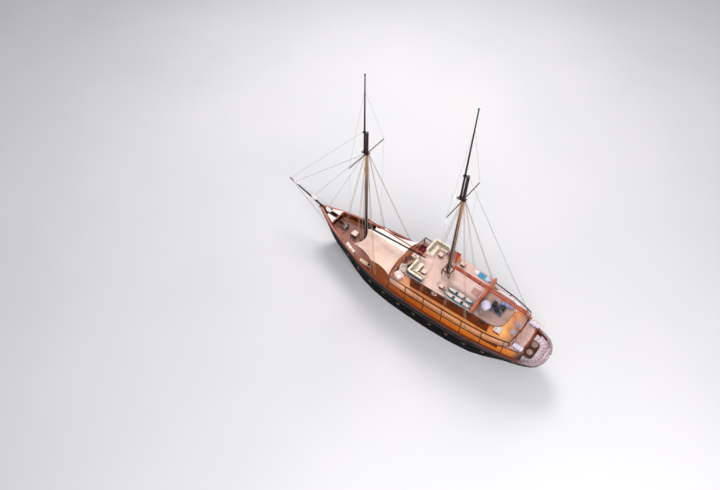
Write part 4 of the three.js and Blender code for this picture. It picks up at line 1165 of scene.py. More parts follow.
def flat_cushion(form, low, high, thickness, z, cover=block_cover):
    """A cushion that lies level between two corners in plan."""
    (x0, y0), (x1, y1) = low, high
    return cushion(form, [(x0, y0, z), (x1, y0, z), (x1, y1, z), (x0, y1, z)], thickness, cover)


def stuffed_piece(form, name, cloth, slot):
    piece = form.done(name, cloth, slot, sharp=60)
    return piece


# Bow: platform with two pads, bowsprit, sails tied down on it

PAD_INNER = 0.3


def bow_pads():
    low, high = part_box("bow_pad_port")
    z = low.z
    x0, x1 = low.x + 0.02, high.x - 0.02
    for name, side in SIDES.items():
        outer = [abs(side_of(f"bow_pad_{name}", x, z + 0.07, side)) for x in (x0, x1)]
        plan = ((x0, PAD_INNER), (x1, PAD_INNER), (x1, outer[1]), (x0, outer[0]))
        corners = [(x, side * y, z) for x, y in plan[::side]]
        form = cushion(Form(), corners, 0.17)
        piece = stuffed_piece(form, f"bow_cushion_{name}", white_cloth, "white_fabric")
        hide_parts(f"bow_pad_{name}")


SPRIT_HEEL = Vector((12.3, 0, 4.08))
SPRIT_TIP = Vector((21.2, 0, 6.71))
SPRIT_ALONG = (SPRIT_TIP - SPRIT_HEEL).normalized()


def sprit_share(x):
    return (x - SPRIT_HEEL.x) / (SPRIT_TIP.x - SPRIT_HEEL.x)


def sprit_at(x):
    return SPRIT_HEEL.lerp(SPRIT_TIP, sprit_share(x))


def sprit_radius(x):
    return 0.17 - 0.1 * sprit_share(x)


def sprit_ironwork():
    bands = Form()
    for x in (13.3, 15.4, 18.3, 20.9):
        bands.band(sprit_at(x) - SPRIT_ALONG * 0.04, sprit_radius(x), 0.014, 0.08, 0.008, 16, SPRIT_ALONG)
    bands.done("sprit_bands", iron, "grey_metal")
    profile = [(0.076, 0), (0.082, 0.02), (0.07, 0.055), (0.03, 0.07)]
    cap = Form().lathe(sprit_at(21.14), profile, 16, SPRIT_ALONG)
    cap.done("sprit_cap", white_gloss, "white_paint")


BUNDLES = ((20.13, 0.95, 0.24, 1), (17.2, 0.95, 0.26, 2), (14.8, 0.85, 0.24, 3))   # x, length, radius, seed
BUNDLE_RINGS = 22


def headsails():
    """Three sails flaked down into lumpy rolls and lashed to the sprit."""
    lift = SPRIT_ALONG.cross(Vector((0, 1, 0)))
    side = SPRIT_ALONG.cross(lift)
    rolls, lashings = Form(), Form()
    for x, length, radius, seed in BUNDLES:
        middle = sprit_at(x) + lift * (sprit_radius(x) + radius - 0.02)
        rings = []
        for i in range(BUNDLE_RINGS + 1):
            t = i / BUNDLE_RINGS
            swell = math.sin(math.pi * min(1, 0.06 + 0.94 * t)) ** 0.45
            waist = 1 - 0.16 * (math.cos(math.tau * (2.5 * t + 0.12)) > 0.9)
            ring = []
            for turn in angles(28):
                lump = noise.noise(Vector((math.cos(turn) * 1.6, math.sin(turn) * 1.6, 5 * t + 9 * seed)))
                fold = 0.05 * math.sin(7 * turn + 8 * t + seed)
                r = radius * swell * waist * (1 + 0.3 * lump + fold)
                out = side * math.cos(turn) * 1.05 + lift * math.sin(turn) * 0.85
                ring.append(middle + SPRIT_ALONG * length * (t - 0.5) + out * r)
            rings.append(ring)
        rolls.loft(rings)
        for t in (0.22, 0.5, 0.8):
            centre = middle + SPRIT_ALONG * length * (t - 0.5) - lift * radius * 0.22
            loop = oval(centre, side * radius * 0.97, lift * (radius * 0.82 + 0.14), 24)
            lashings.tube(loop, 0.012, 6)
    piece = stuffed_piece(rolls, "furled_headsails", sail_cloth, "white_fabric")
    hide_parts("headsail_bundles")
    lashings.done("headsail_lashings", tan_rope, "rigging_line")


bow_pads()
sprit_ironwork()
headsails()
paint_node("bowsprit", sprit_dark, 0)
paint_node("bow_platform", rail_red)


# Foredeck: windlass, hatch, bench, lounger

DRUM = ((0.05, 0), (0.19, 0.01), (0.19, 0.04), (0.12, 0.09), (0.11, 0.16), (0.17, 0.23), (0.17, 0.25),
        (0.05, 0.26))


def windlass():
    low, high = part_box("windlass")
    x, half = (low.x + high.x) / 2, high.y
    foot = low.z
    barrel_z = foot + 0.42
    frame_form, drums = Form(), Form()
    for y in (-0.34, 0.34):
        frame_form.box((x - 0.16, y - 0.05, foot), (x + 0.16, y + 0.05, foot + 0.6))
    frame_form.box((x - 0.2, -0.16, foot), (x + 0.2, 0.16, foot + 0.5))
    for side in SIDES.values():
        drums.lathe((x, side * (half - 0.27), barrel_z), DRUM, 24, (0, side, 0))
        chain = [(x + 0.14, side * 0.26, barrel_z), (x + 0.6, side * 0.3, foot + 0.2),
                 (x + 1.1, side * 0.34, foot + 0.09)]
        for i, (point, ahead) in enumerate(spaced(smooth(chain), 0.075)):
            across = ahead.cross(UP)
            drums.ring(point, 0.034, 0.011, across if i % 2 else across.cross(ahead), 8, 5)
    drums.tube([(x, -half + 0.2, barrel_z), (x, half - 0.2, barrel_z)], 0.1, 20)
    piece = frame_form.done("windlass_frame", iron, "grey_metal", bevel=0.015)
    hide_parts("windlass")
    drums.done("windlass_drums", metal("drum_metal", "8a93a0", "4a505a", 0.4), "grey_metal")
    lever = Form().tube([(x - 0.1, 0.0, foot + 0.5), (x - 0.42, 0.05, foot + 0.92)], 0.018, 8)
    lever.done("windlass_lever", brass, "bronze")


def hatch():
    low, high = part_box("deck_hatch_lid")
    form = Form()
    wide, thick, gap = 0.07, 0.014, 0.002
    x0, x1, y1 = low.x + gap, high.x - gap, high.y - gap
    for a, b in ((x0, x0 + wide), (x1 - wide, x1)):
        form.box((a, -y1, high.z), (b, y1, high.z + thick))
    for side in SIDES.values():
        form.box((x0 + wide, side * (y1 - wide), high.z), (x1 - wide, side * y1, high.z + thick))
    form.done("hatch_lid_rim", rail_dark, "varnished_wood", "hatch_lid", bevel=0.006)
    grip = ((-0.09, 0), (-0.07, 0.04), (0.07, 0.04), (0.09, 0))
    handle = Form().tube(smooth([(x1 - 0.16, y, high.z + z) for y, z in grip]), 0.009)
    handle.done("hatch_lid_handle", brass, "bronze", "hatch_lid")
    paint_node("deck_hatch_lid", painted("lid_paint", "d9b9b4", "c09a96", 0.4))
    paint_node("deck_hatch", rail_dark)


BENCH_TOP = 0.3                          # above the deck, without its cushion
BENCH_CUSHION = 0.15


def foredeck_bench():
    low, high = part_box("foredeck_bench")
    frame_form, seats = Form(), Form()
    xs = np.linspace(low.x + 0.02, high.x - 0.02, 4)

    def end(x, measured):
        """The bench's inner and outer foot at one end of a part, measured a little way into it."""
        z = deck_top(measured) + BENCH_TOP
        inner = hit("foredeck_bench", (measured, 0.2, z), (0, 1, 0)).y
        outer = side_of("foredeck_bench", measured, z)
        return [Vector((x, y, deck_top(x))) for y in (inner, outer)]

    for a, b in zip(xs, xs[1:]):
        ends = [end(a, a + 0.01), end(b, b - 0.01)]
        top = UP * BENCH_TOP
        frame_form.loft([[inner, outer, outer + top, inner + top] for inner, outer in ends])
        (inner_a, outer_a), (inner_b, outer_b) = ends
        corners = [p + UP * (BENCH_TOP - 0.01) for p in (inner_a, inner_b, outer_b, outer_a)]
        cushion(seats, corners, BENCH_CUSHION)
    piece = frame_form.done("foredeck_bench_frame", wall_varnish, "varnished_wood", bevel=0.01)
    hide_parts("foredeck_bench")
    stuffed_piece(seats, "foredeck_bench_cushions", white_cloth, "cream_fabric")


def lounger():
    low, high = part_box("lounger")
    z = high.z
    frame_form, mattress = Form(), Form()
    for y in (low.y + 0.035, high.y - 0.035):
        frame_form.box((low.x, y - 0.035, z - 0.17), (high.x, y + 0.035, z - 0.07))
    for x in np.linspace(low.x + 0.04, high.x - 0.04, 12):
        frame_form.box((x - 0.035, low.y + 0.03, z - 0.14), (x + 0.035, high.y - 0.03, z - 0.1))
    for x in (low.x + 0.18, high.x - 0.18):
        for y in (low.y + 0.06, high.y - 0.06):
            frame_form.post(x, y, 0.03, deck_top(x), z - 0.1)
    piece = frame_form.done("lounger_frame", bench_wood, "varnished_wood", bevel=0.008)
    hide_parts("lounger")
    y0, y1 = low.y + 0.03, high.y - 0.03
    head, hinge = low.x + 0.03, low.x + 0.36
    xs = np.linspace(hinge, high.x - 0.02, 4)
    for a, b in zip(xs, xs[1:]):
        flat_cushion(mattress, (a, y0), (b, y1), 0.1, z - 0.1)
    raised = [(head, y0, z + 0.02), (hinge, y0, z - 0.1), (hinge, y1, z - 0.1), (head, y1, z + 0.02)]
    cushion(mattress, raised, 0.1)
    stuffed_piece(mattress, "lounger_mattress", cream_cloth, "cream_fabric")
    place = (low.x + 0.06, low.y + 0.08), (low.x + 0.34, high.y - 0.08)
    pillow = flat_cushion(Form(), *place, 0.1, z + 0.05, pillow_cover)
    stuffed_piece(pillow, "lounger_pillow", dark_cloth, "cream_fabric")


windlass()
hatch()
foredeck_bench()
lounger()


# Awning: one sheet over a ridge, its edges scalloped between the lashings

AWNING_PORT = ((8.48, 2.42, 5.64), (5.35, 3.1, 5.74), (2.56, 3.52, 5.82))
AWNING_STARBOARD = ((8.4, -1.62, 5.68), (6.95, -1.78, 5.72), (2.56, -2.5, 5.82))
AWNING_RIDGE = ((8.28, 0.0, 6.2), (5.4, 0.0, 6.12), (2.82, 0.0, 6.1))
AWNING_TIES = ((8.6, 2.6, 4.46), (5.2, 3.48, 3.9), (2.5, 3.66, 5.79),
               (8.6, -2.66, 4.46), (6.6, -3.2, 4.0), (2.5, -3.6, 5.79))
AWNING_STEPS = 44
AWNING_ACROSS = 16                       # steps from the ridge to each edge


def scalloped(corners, depth):
    """An edge that runs inboard between its corners."""
    a, b, c = [Vector(p) for p in corners]
    share = (a - b).length / ((a - b).length + (b - c).length)
    line = []
    for k in range(AWNING_STEPS + 1):
        t = k / AWNING_STEPS
        first = t <= share
        u = t / share if first else (t - share) / (1 - share)
        p = a.lerp(b, u) if first else b.lerp(c, u)
        p.y -= math.copysign(depth * math.sin(math.pi * u) ** 0.8, p.y)
        line.append(p)
    return line


def awning():
    port = scalloped(AWNING_PORT, 0.26)
    starboard = scalloped(AWNING_STARBOARD, 0.5)
    ridge = scalloped(AWNING_RIDGE, 0.0)
    rows = []
    for i, (left, top, right) in enumerate(zip(port, ridge, starboard)):
        t = i / AWNING_STEPS
        row = []
        for j in range(-AWNING_ACROSS, AWNING_ACROSS + 1):
            u = abs(j) / AWNING_ACROSS
            arch = math.sin(math.pi * u)
            p = top.lerp(left if j < 0 else right, u)
            p.z -= 0.1 * arch * (1 - 0.35 * math.cos(math.tau * t))
            p.z += 0.012 * noise.noise(Vector((p.x * 1.7, p.y * 1.1, 3.0)))
            p.x -= 0.55 * arch * (1 - t) ** 6
            p.x += 0.22 * arch * t ** 6
            row.append(p)
        rows.append(row)
    sheet = Form().loft(rows, closed=False).done("awning_sheet", awning_cloth, "cream_fabric", sharp=80)
    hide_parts("awning")
    left = [row[0] for row in rows]
    right = [row[-1] for row in rows]
    hem = Form().tube(left + rows[-1][1:] + right[::-1][1:] + rows[0][::-1][1:], 0.016, 6)
    hem.tube([p + UP * 0.01 for p in ridge], 0.014, 6)
    hem_piece = hem.done("awning_hem", white_cloth, "white_fabric")
    ropes = Form().tube([(8.42, 0, 6.24), ridge[0], *ridge[8::8], (2.6, 0, 6.09)], 0.018, 6)
    for corner, end in zip((*AWNING_PORT, *AWNING_STARBOARD), AWNING_TIES):
        ropes.tube([corner, end], 0.009, 5)
    ropes.done("awning_ridge_rope", pale_rope, "rigging_line")


awning()


# Sofas on the sun deck

# Each on the port side: x0, x1, y0, y1, and the base's heights

SOFA_BASE = ((-0.34, 0.38, 0.86, 2.84, 0.24), (-1.34, -0.34, 2.12, 2.84, 0.24),
             (0.36, 0.57, 0.84, 2.86, 0.66), (-1.36, 0.36, 2.65, 2.86, 0.66))
SOFA_SEATS = ((-0.36, 0.34, 0.84, 1.74), (-0.36, 0.34, 1.74, 2.64),
              (-0.87, -0.36, 2.1, 2.64), (-1.38, -0.87, 2.1, 2.64))
SOFA_BACKS = ((0.35, 0.6, 0.84, 1.84), (0.35, 0.6, 1.84, 2.84),
              (-1.38, -0.5, 2.63, 2.88), (-0.5, 0.36, 2.63, 2.88))
SEAT_FOOT = 0.24
SEAT_TOP = 0.4
BACK_TOP = 0.74
BACK_THICK = 0.13
PILLOW_HALF = 0.19
PILLOW_LEAN = 0.12
PILLOW_RISE = 0.4


def sofa(name, side):
    base, seats, pillows = Form(), Form(), Form()
    seat = SUN_Z + SEAT_TOP
    head = seat + PILLOW_RISE

    def place(x0, x1, y0, y1):
        inner, outer = sorted((side * y0, side * y1))
        return (x0, inner), (x1, outer)

    def pillow(*corners):
        """A pillow over four corners, which are given for the port side."""
        placed = [(x, side * y, z) for x, y, z in corners[::side]]
        cushion(pillows, placed, BACK_THICK, pillow_cover, 0.005)

    for *plan, top in SOFA_BASE:
        low, high = place(*plan)
        base.box((*low, SUN_Z), (*high, SUN_Z + top))
    for plan in SOFA_SEATS:
        flat_cushion(seats, *place(*plan), SEAT_TOP - SEAT_FOOT, SUN_Z + SEAT_FOOT)
    for plan in SOFA_BACKS:
        flat_cushion(seats, *place(*plan), BACK_THICK, SUN_Z + BACK_TOP - BACK_THICK)
    for y in np.arange(1.06, 2.3, 0.38):
        y0, y1 = y - PILLOW_HALF, y + PILLOW_HALF
        back = 0.2 + PILLOW_LEAN
        pillow((back, y0, head), (back, y1, head), (0.2, y1, seat), (0.2, y0, seat))
    for x in np.arange(-1.16, 0.1, 0.38):
        x0, x1 = x - PILLOW_HALF, x + PILLOW_HALF
        back = 2.49 + PILLOW_LEAN
        pillow((x0, 2.49, seat), (x1, 2.49, seat), (x1, back, head), (x0, back, head))
    # The port sofa's base is navy and the starboard one's white: the navy is painted shade on the side turned
    # away from the light.
    cloth = navy_cloth if side > 0 else white_cloth
    frame_piece = base.done(f"sofa_{name}_base", cloth, "cream_fabric", bevel=0.03)
    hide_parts(f"sofa_{name}")
    stuffed_piece(seats, f"sofa_{name}_cushions", cream_cloth, "cream_fabric")
    stuffed_piece(pillows, f"sofa_{name}_pillows", leaf_cloth, "cream_fabric")


for name, side in SIDES.items():
    sofa(name, side)


# Sun deck: lockers and tables, stairs, companion, boats and board

TABLES = ((-3.64, -2.02, 0.26, 0.255), (-3.47, 1.95, 0.26, 0.255),      # x, y, half of top and of foot
          (-0.85, 1.55, 0.28, 0.25), (-0.97, -1.56, 0.28, 0.25))
SHADOW_PATCH = ((-6.2, -0.35), (-6.25, 0.55), (-7.2, 0.6), (-7.15, -0.3))
STEPS = 8


def table_tops():
    tops, sides = Form(), Form()
    for x, y, half, foot in TABLES:
        z = top_of("sun_deck", x, y)
        tops.post(x, y, half, z - 0.002, z + 0.025)
        tops.post(x, y, half - 0.03, z - 0.16, z - 0.02)
        sides.post(x, y, foot, SUN_Z + SKIN_STAND, z - 0.03)
    table_paint = painted("table_paint", "d9b5aa", "c49a8e", 0.4)
    tops.done("sun_deck_table_tops", table_paint, "red_brown_paint", bevel=0.01)
    # The dark wood sides under the light tops are painted shade.
    sides.done("sun_deck_table_shaded_sides", wall_dark, "dark_wood", bevel=0.01)


def sun_deck_trim():
    """A dark edge moulding right round the sun deck and the roof, and a thin brown sheet on the deck that is
    a painted shadow.
    """
    form = Form()
    sides = (("sun_deck", SUN_Z, (0.6, -7.64, 26)), ("aft_roof", ROOF_Z, (-7.8, -11.12, 40)))
    for node, z, span in sides:
        for side in SIDES.values():
            line = [(x, side_of(node, x, z - 0.06, side), z - 0.02) for x in np.linspace(*span)]
            form.beam(line, 0.06, 0.11)
    low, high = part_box("sun_deck")
    form.beam([(high.x, y, SUN_Z - 0.02) for y in (high.y - 0.03, low.y + 0.03)], 0.05, 0.11)
    low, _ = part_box("aft_roof")
    ys = [side_of("aft_roof", low.x + 0.01, low.z + 0.06, side) for side in SIDES.values()]
    form.beam([(low.x, y, ROOF_Z - 0.02) for y in ys], 0.06, 0.11)
    form.done("roof_edge_moulding", painted("edge_paint", "4a3a3c", "2d2426", 0.4), "dark_wood", bevel=0.012)
    # A thin brown sheet laid on the deck: painted shadow.
    z = top_of("sun_deck", -6.7, 0.12) + 0.003
    shadow_sheet = Form().prism(SHADOW_PATCH, z, z + 0.006)
    shadow_sheet.done("sun_deck_painted_shadow", timber("painted_shadow_brown", "b98a80", "a4766c", "Y", 0.6, 0.0), "teak_deck")


def stairs():
    low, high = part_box("sun_deck_stairs")
    treads, rails = Form(), Form()
    half = (high.x - low.x) / STEPS / 2
    for step in range(STEPS):
        x = low.x + half * (2 * step + 1)
        z = top_of("sun_deck_stairs", x, (low.y + high.y) / 2)
        treads.box((x - half, low.y + 0.06, z - 0.004), (x + half + 0.02, high.y - 0.06, z + 0.024))
    tread_paint = painted("tread_gold", "a8642c", "7a4420", 0.4)
    treads.done("stair_treads", tread_paint, "varnished_wood", bevel=0.008)
    foot, head = high.x - 0.1, low.x + 0.08
    for y in (low.y + 0.03, high.y - 0.03):
        line = [(foot, y, UPPER_Z + 0.9), (low.x + 0.55, y, SUN_Z - 0.05), (head, y, SUN_Z + 0.86)]
        rails.tube(smooth(line, 6), 0.024)
        for x, z in ((foot, UPPER_Z), (head, SUN_Z)):
            rails.tube([(x, y, z), (x, y, z + 0.88)], 0.024)
    rails.done("stair_rails", brass, "bronze")


def companion():
    low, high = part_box("companion")
    lid, sides = Form(), Form()
    y0, y1 = low.y - 0.02, high.y + 0.02
    lid.box((low.x - 0.02, y0, high.z - 0.002), (high.x + 0.02, y1, high.z + 0.03))
    for x in np.linspace(low.x + 0.12, high.x - 0.12, 4):
        lid.box((x - 0.03, y0, high.z + 0.03), (x + 0.03, y1, high.z + 0.05))
    lid_wood = timber("companion_top", "a62e12", "741e0c", "Y", 0.5, 0.0)
    lid.done("companion_lid", lid_wood, "red_brown_paint", bevel=0.01)
    z0, z1 = low.z + 0.06, high.z - 0.06
    sides.box((low.x - 0.012, low.y + 0.1, z0), (low.x + 0.01, high.y - 0.1, z1))
    sides.box((low.x + 0.1, high.y - 0.01, z0), (high.x - 0.1, high.y + 0.012, z1))
    # The panels' bright orange is painted lamp light, the glow from the lit inside of the companion.
    painted_glow = timber("companion_painted_glow", "ffa038", "d87424", "Z", 0.4, 0.1)
    sides.done("companion_panels", painted_glow, "red_brown_paint", bevel=0.006)


KAYAK_SIDES = 48
KAYAK_FULLNESS = 0.85                    # the smaller, the blunter its ends in plan
KAYAK_SHELL = ((0.35, 0.0), (0.8, 0.1), (1.0, 0.55), (1.0, 0.72), (0.97, 0.94), (0.88, 1.0), (0.8, 0.92))
KAYAK_INSIDE = ((0.8, 0.92), (0.74, 0.6), (0.42, 0.4))               # shares of width and of height


def kayak_ring(node, share, rise):
    """A kayak's outline at a share of its width and of its height."""
    low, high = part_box(node)
    middle, half = (low + high) / 2, (high - low) / 2
    ring = []
    for turn in angles(KAYAK_SIDES):
        x = half.x * math.cos(turn) * (0.7 + 0.3 * share)
        y = half.y * math.copysign(abs(math.sin(turn)) ** KAYAK_FULLNESS, math.sin(turn)) * share
        ring.append(middle + Vector((x, y, (2 * rise - 1) * half.z)))
    return ring


def kayak(name, node):
    """An open kayak: a teal shell with a thick rim, a pale inside and two seats."""
    low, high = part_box(node)
    middle = (low + high) / 2
    shell = Form().loft([kayak_ring(node, *p) for p in KAYAK_SHELL], capped=False)
    shell.faces.append(tuple(range(KAYAK_SIDES - 1, -1, -1)))
    piece = shell.done(f"{name}_hull", teal_gloss, "teal_plastic", sharp=70)
    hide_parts(node)
    inside = Form().loft([kayak_ring(node, *p) for p in KAYAK_INSIDE], capped=False)
    last = len(inside.points) - KAYAK_SIDES
    inside.faces.append(tuple(range(last, last + KAYAK_SIDES)))
    inside.done(f"{name}_inside", pale_seat, "white_plastic")
    seats = Form()
    rim = kayak_ring(node, 0.79, 0.93)
    seats.tube(rim + rim[:1], 0.014, 6)
    for share in (0.3, -0.32):
        x = middle.x + (high.x - low.x) / 2 * share
        seats.box((x - 0.13, middle.y - 0.15, low.z + 0.1), (x + 0.11, middle.y + 0.15, low.z + 0.18))
        seats.box((x - 0.16, middle.y - 0.14, low.z + 0.12), (x - 0.12, middle.y + 0.14, high.z + 0.02))
    seats.done(f"{name}_seats", black_gloss, "grey_metal", bevel=0.02)


BOARD_BANDS = ((0.0, "b5c6df"), (0.3, "c3cfe2"), (0.36, "3f97bd"),
               (0.7, "348ab4"), (0.76, "e8e6ea"), (1.0, "f2eef0"))


def board():
    low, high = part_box("paddle_board")
    middle = (low + high) / 2
    paint_node("paddle_board", banded("board_bands", "X", low.x, high.x, BOARD_BANDS, 0.4), 0.02)
    spot = Form().lathe((middle.x + 0.1, middle.y, high.z - 0.001), [(0.07, 0), (0.06, 0.008)], 20)
    spot.done("board_handle", black_gloss, "grey_metal")
    x, y, z = low.x + 0.2, middle.y + 0.06, low.z + 0.004
    strap = Form().box((x, y, z), (x + 0.04, y + 0.04, z + 0.026))
    strap.done("board_strap", grey_gloss, "grey_metal")


table_tops()
sun_deck_trim()
stairs()
companion()
kayak("kayak_outboard", "kayak_outer")
kayak("kayak_inboard", "kayak_inner")
board()


# Upper deck: armchairs, serving table, seats and tables aft, life ring, lamp

ARMCHAIR = ((-0.32, 0.36, -0.28, 0.28, 0.08, 0.34), (-0.4, 0.36, 0.26, 0.42, 0.06, 0.56),
            (-0.4, 0.36, -0.42, -0.26, 0.06, 0.56), (-0.44, -0.26, -0.4, 0.4, 0.06, 0.74))
SERVING_TOP = UPPER_Z + 0.62
AFT_SEAT_TOP = UPPER_Z + 0.26
AFT_TABLES = ((-11.99, -0.45), (-12.05, 0.72))
LAMP_PLACE = (-10.9, 0.8)


def armchair(form, x, y, facing):
    """An upholstered tub chair; facing is the way its front looks, in degrees."""
    turn = Matrix.Translation((x, y, UPPER_Z)) @ Matrix.Rotation(math.radians(facing), 4, "Z")
    for x0, x1, y0, y1, z, thickness in ARMCHAIR:
        corners = [(x0, y0, z), (x1, y0, z), (x1, y1, z), (x0, y1, z)]
        cushion(form, [turn @ Vector(p) for p in corners], thickness)


def upper_deck_furniture():
    chairs, red, frame_form = Form(), Form(), Form()
    armchair(chairs, 2.01, 1.23, 200)
    armchair(chairs, 1.8, 2.46, 160)
    stuffed_piece(chairs, "armchairs", white_cloth, "cream_fabric")
    armchair(red, 1.9, -2.4, 190)
    stuffed_piece(red, "red_armchair", woven("red_cloth", "8a2f3a", "5e1f2a"), "cream_fabric")
    table = Form().box((1.35, -1.15, SERVING_TOP), (2.3, -0.52, SERVING_TOP + 0.04))
    table_paint = painted("table_top_paint", "e6c4b8", "c9a294", 0.4)
    table.done("serving_table_top", table_paint, "white_paint", bevel=0.01)
    for x in (1.4, 2.25):
        for y in (-1.1, -0.57):
            frame_form.post(x, y, 0.03, UPPER_Z + SKIN_STAND, SERVING_TOP)
    for z in (UPPER_Z + 0.12, UPPER_Z + 0.56):
        for y in (-1.12, -0.59):
            frame_form.box((1.38, y, z), (2.27, y + 0.04, z + 0.05))
    frame_form.done("serving_table_frame", upright_dark, "dark_wood", bevel=0.006)


def aft_seating():
    base = Form().box((-10.98, 0.82, UPPER_Z + SKIN_STAND), (-10.24, 1.74, AFT_SEAT_TOP))
    base.done("aft_seat_base", wall_varnish, "varnished_wood", bevel=0.01)
    seats, tables = Form(), Form()
    flat_cushion(seats, (-10.98, 0.82), (-10.4, 1.74), 0.14, AFT_SEAT_TOP)
    flat_cushion(seats, (-10.4, 0.82), (-10.2, 1.74), 0.44, AFT_SEAT_TOP)
    stuffed_piece(seats, "aft_seat_cushions", white_cloth, "cream_fabric")
    leg = [(0.2, 0), (0.19, 0.03), (0.035, 0.05), (0.035, 0.6)]
    for x, y in AFT_TABLES:
        tables.box((x - 0.3, y - 0.32, UPPER_Z + 0.6), (x + 0.3, y + 0.32, UPPER_Z + 0.635))
        tables.lathe((x, y, UPPER_Z + SKIN_STAND), leg, 16)
    table_paint = painted("aft_table_paint", "c4aeb6", "a08a92", 0.45)
    tables.done("aft_deck_tables", table_paint, "dark_wood", bevel=0.008)


def life_ring():
    x, radius, tube = -3.0, 0.27, 0.065
    centre = Vector((x, side_of("upper_house_wall_port", x, 6.1) + 0.05, 6.15))
    ring = Form().ring(centre, radius, tube, (0, 1, 0), 32, 12)
    ring.done("life_ring", moulded("ring_pink", "e3c3bd", "c9a39d", 0.4), "white_plastic")
    bands = Form()
    for turn in angles(4):
        turn += math.tau / 8
        out = Vector((math.cos(turn), 0, math.sin(turn)))
        around = Vector((-math.sin(turn), 0, math.cos(turn)))
        bands.band(centre + out * radius - around * 0.035, 0.064, 0.006, 0.07, 0.004, 16, around)
    bands.done("life_ring_bands", painted("ring_red", "a8382a", "8c2c22", 0.4), "red_brown_paint")


def lamp():
    foot = (*LAMP_PLACE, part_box("aft_roof")[0].z - 0.002)
    shade = Form().lathe(foot, [(0.03, 0), (0.11, -0.02), (0.12, -0.06), (0.1, -0.1), (0.02, -0.12)], 20)
    shade.done("aft_lamp", warm_lamp, "white_plastic")


upper_deck_furniture()
aft_seating()
life_ring()
lamp()


# Masts and spars

MASTS = {
    "foremast": {"x": 8.64, "hounds": 18.3, "head": 21.06, "foot": deck_top(8.2), "topmast": "fore_topmast"},
    "aft_mast": {"x": -2.95, "hounds": 19.3, "head": 22.35, "foot": SUN_Z, "topmast": "aft_topmast"},
}
CROSSTREE_HALF = 2.9
CROSSTREE_TIP = ((0.03, 0.08), (0.045, 0.04), (0.05, -0.12), (0.03, -0.8), (0.012, -0.95))
RADAR = ((0.2, 0), (0.27, 0.04), (0.29, 0.14), (0.25, 0.26), (0.15, 0.34), (0.03, 0.37))
PIN = ((0.012, -0.3), (0.014, -0.02), (0.026, 0.0), (0.018, 0.06), (0.026, 0.13), (0.012, 0.17))
FIFE_HALF = 0.47
FIFE_TOP = 0.86                          # above the mast's foot
SPARS = {                                # heel, end, the radius at each, and where the bands are
    "fore_boom": ((8.22, 0, 6.64), (0.03, 0, 7.56), 0.11, 0.083, (0.08, 0.35, 0.65, 0.97)),
    "fore_gaff": ((8.22, 0, 7.95), (-0.1, 0, 7.97), 0.08, 0.06, (0.1, 0.5, 0.96)),
    "main_boom": ((-3.37, 0, 8.92), (-14.6, 0, 8.36), 0.12, 0.09, (0.06, 0.3, 0.55, 0.8)),
}


def mast_radius(mast, z):
    return 0.215 - 0.065 * (z - mast["foot"]) / (mast["head"] - mast["foot"])


def paint_masts():
    for node, mast in MASTS.items():
        low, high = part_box(node)
        share = (mast["hounds"] - 0.08 - low.z) / (high.z - low.z)
        # Near black at the foot, going over to gold just under the hounds, dark above them: the gold is
        # painted lamp light from the hounds, over the dark varnish.
        stops = [(0.0, "1c1112"), (share * 0.35, "281815"), (share * 0.68, "5c3820"),
                 (share - 0.02, "b8844c"), (share + 0.005, "2a1715"), (1.0, "201110")]
        paint_node(node, banded(f"{node}_varnish", "Z", low.z, high.z, stops, 0.4, 0.08), 0)
        paint_node(mast["topmast"], topmast_red, 0)


def mast_ironwork():
    bands, whites, dome = Form(), Form(), Form()
    for mast in MASTS.values():
        for z in (mast["foot"] + 1.1, mast["foot"] + 4.2, mast["hounds"] - 4.6, mast["head"] - 0.35):
            bands.band((mast["x"], 0, z - 0.04), mast_radius(mast, z), 0.014, 0.08, 0.01, 20)
        for side in SIDES.values():
            place = (mast["x"], side * (CROSSTREE_HALF - 0.06), mast["hounds"] - 0.04)
            whites.lathe(place, CROSSTREE_TIP, 10)
    bands.done("mast_bands", iron, "grey_metal")
    whites.done("crosstree_fittings", white_gloss, "white_paint")
    aft = MASTS["aft_mast"]
    x, z = aft["x"] + 0.93, aft["hounds"] - 0.42
    dome.lathe((x, 0, z), RADAR, 24)
    dome.box((x - 0.6, -0.03, z - 0.1), (x + 0.16, 0.03, z - 0.03))
    dome.lathe((x, 0, z - 0.06), [(0.1, 0), (0.1, 0.07)], 16)
    dome.done("mast_radar", white_gloss, "white_plastic")


def fife_rail(name, mast):
    """Posts and rails round a mast's foot, with pins and the coils of rope that hang on them."""
    x, z = mast["x"], mast["foot"]
    half, top = FIFE_HALF, z + FIFE_TOP
    frame_form, pins, coils = Form(), Form(), Form()
    for out in (-half, half):
        for dy in (-half, half):
            frame_form.post(x + out, dy, 0.055, z + 0.004, top + 0.1)
        frame_form.box((x - half - 0.1, out - 0.07, top - 0.09), (x + half + 0.1, out + 0.07, top))
        frame_form.box((x + out - 0.07, -half, top - 0.09), (x + out + 0.07, half, top))
    count = 0
    for along in (-0.26, 0.0, 0.26):
        for side in SIDES.values():
            for px, py, ax, ay in ((x + along, side * half, 0, side), (x + side * half, along, side, 0)):
                pins.lathe((px, py, top), PIN, 8)
                count += 1
                if count % 3 == 0:
                    continue
                for loop in range(3):
                    out = 0.07 + 0.03 * loop
                    centre = (px + ax * out, py + ay * out, top - 0.2 - 0.02 * loop)
                    coils.ring(centre, 0.15 - 0.012 * loop, 0.018, (ax, ay, 0.25 - 0.12 * loop), 18, 6)
    frame_form.done(f"{name}_fife_rail", wall_dark, "dark_wood", bevel=0.012)
    pins.done(f"{name}_pins", brass, "bronze")
    coils.done(f"{name}_coils", pale_rope, "rigging_line")


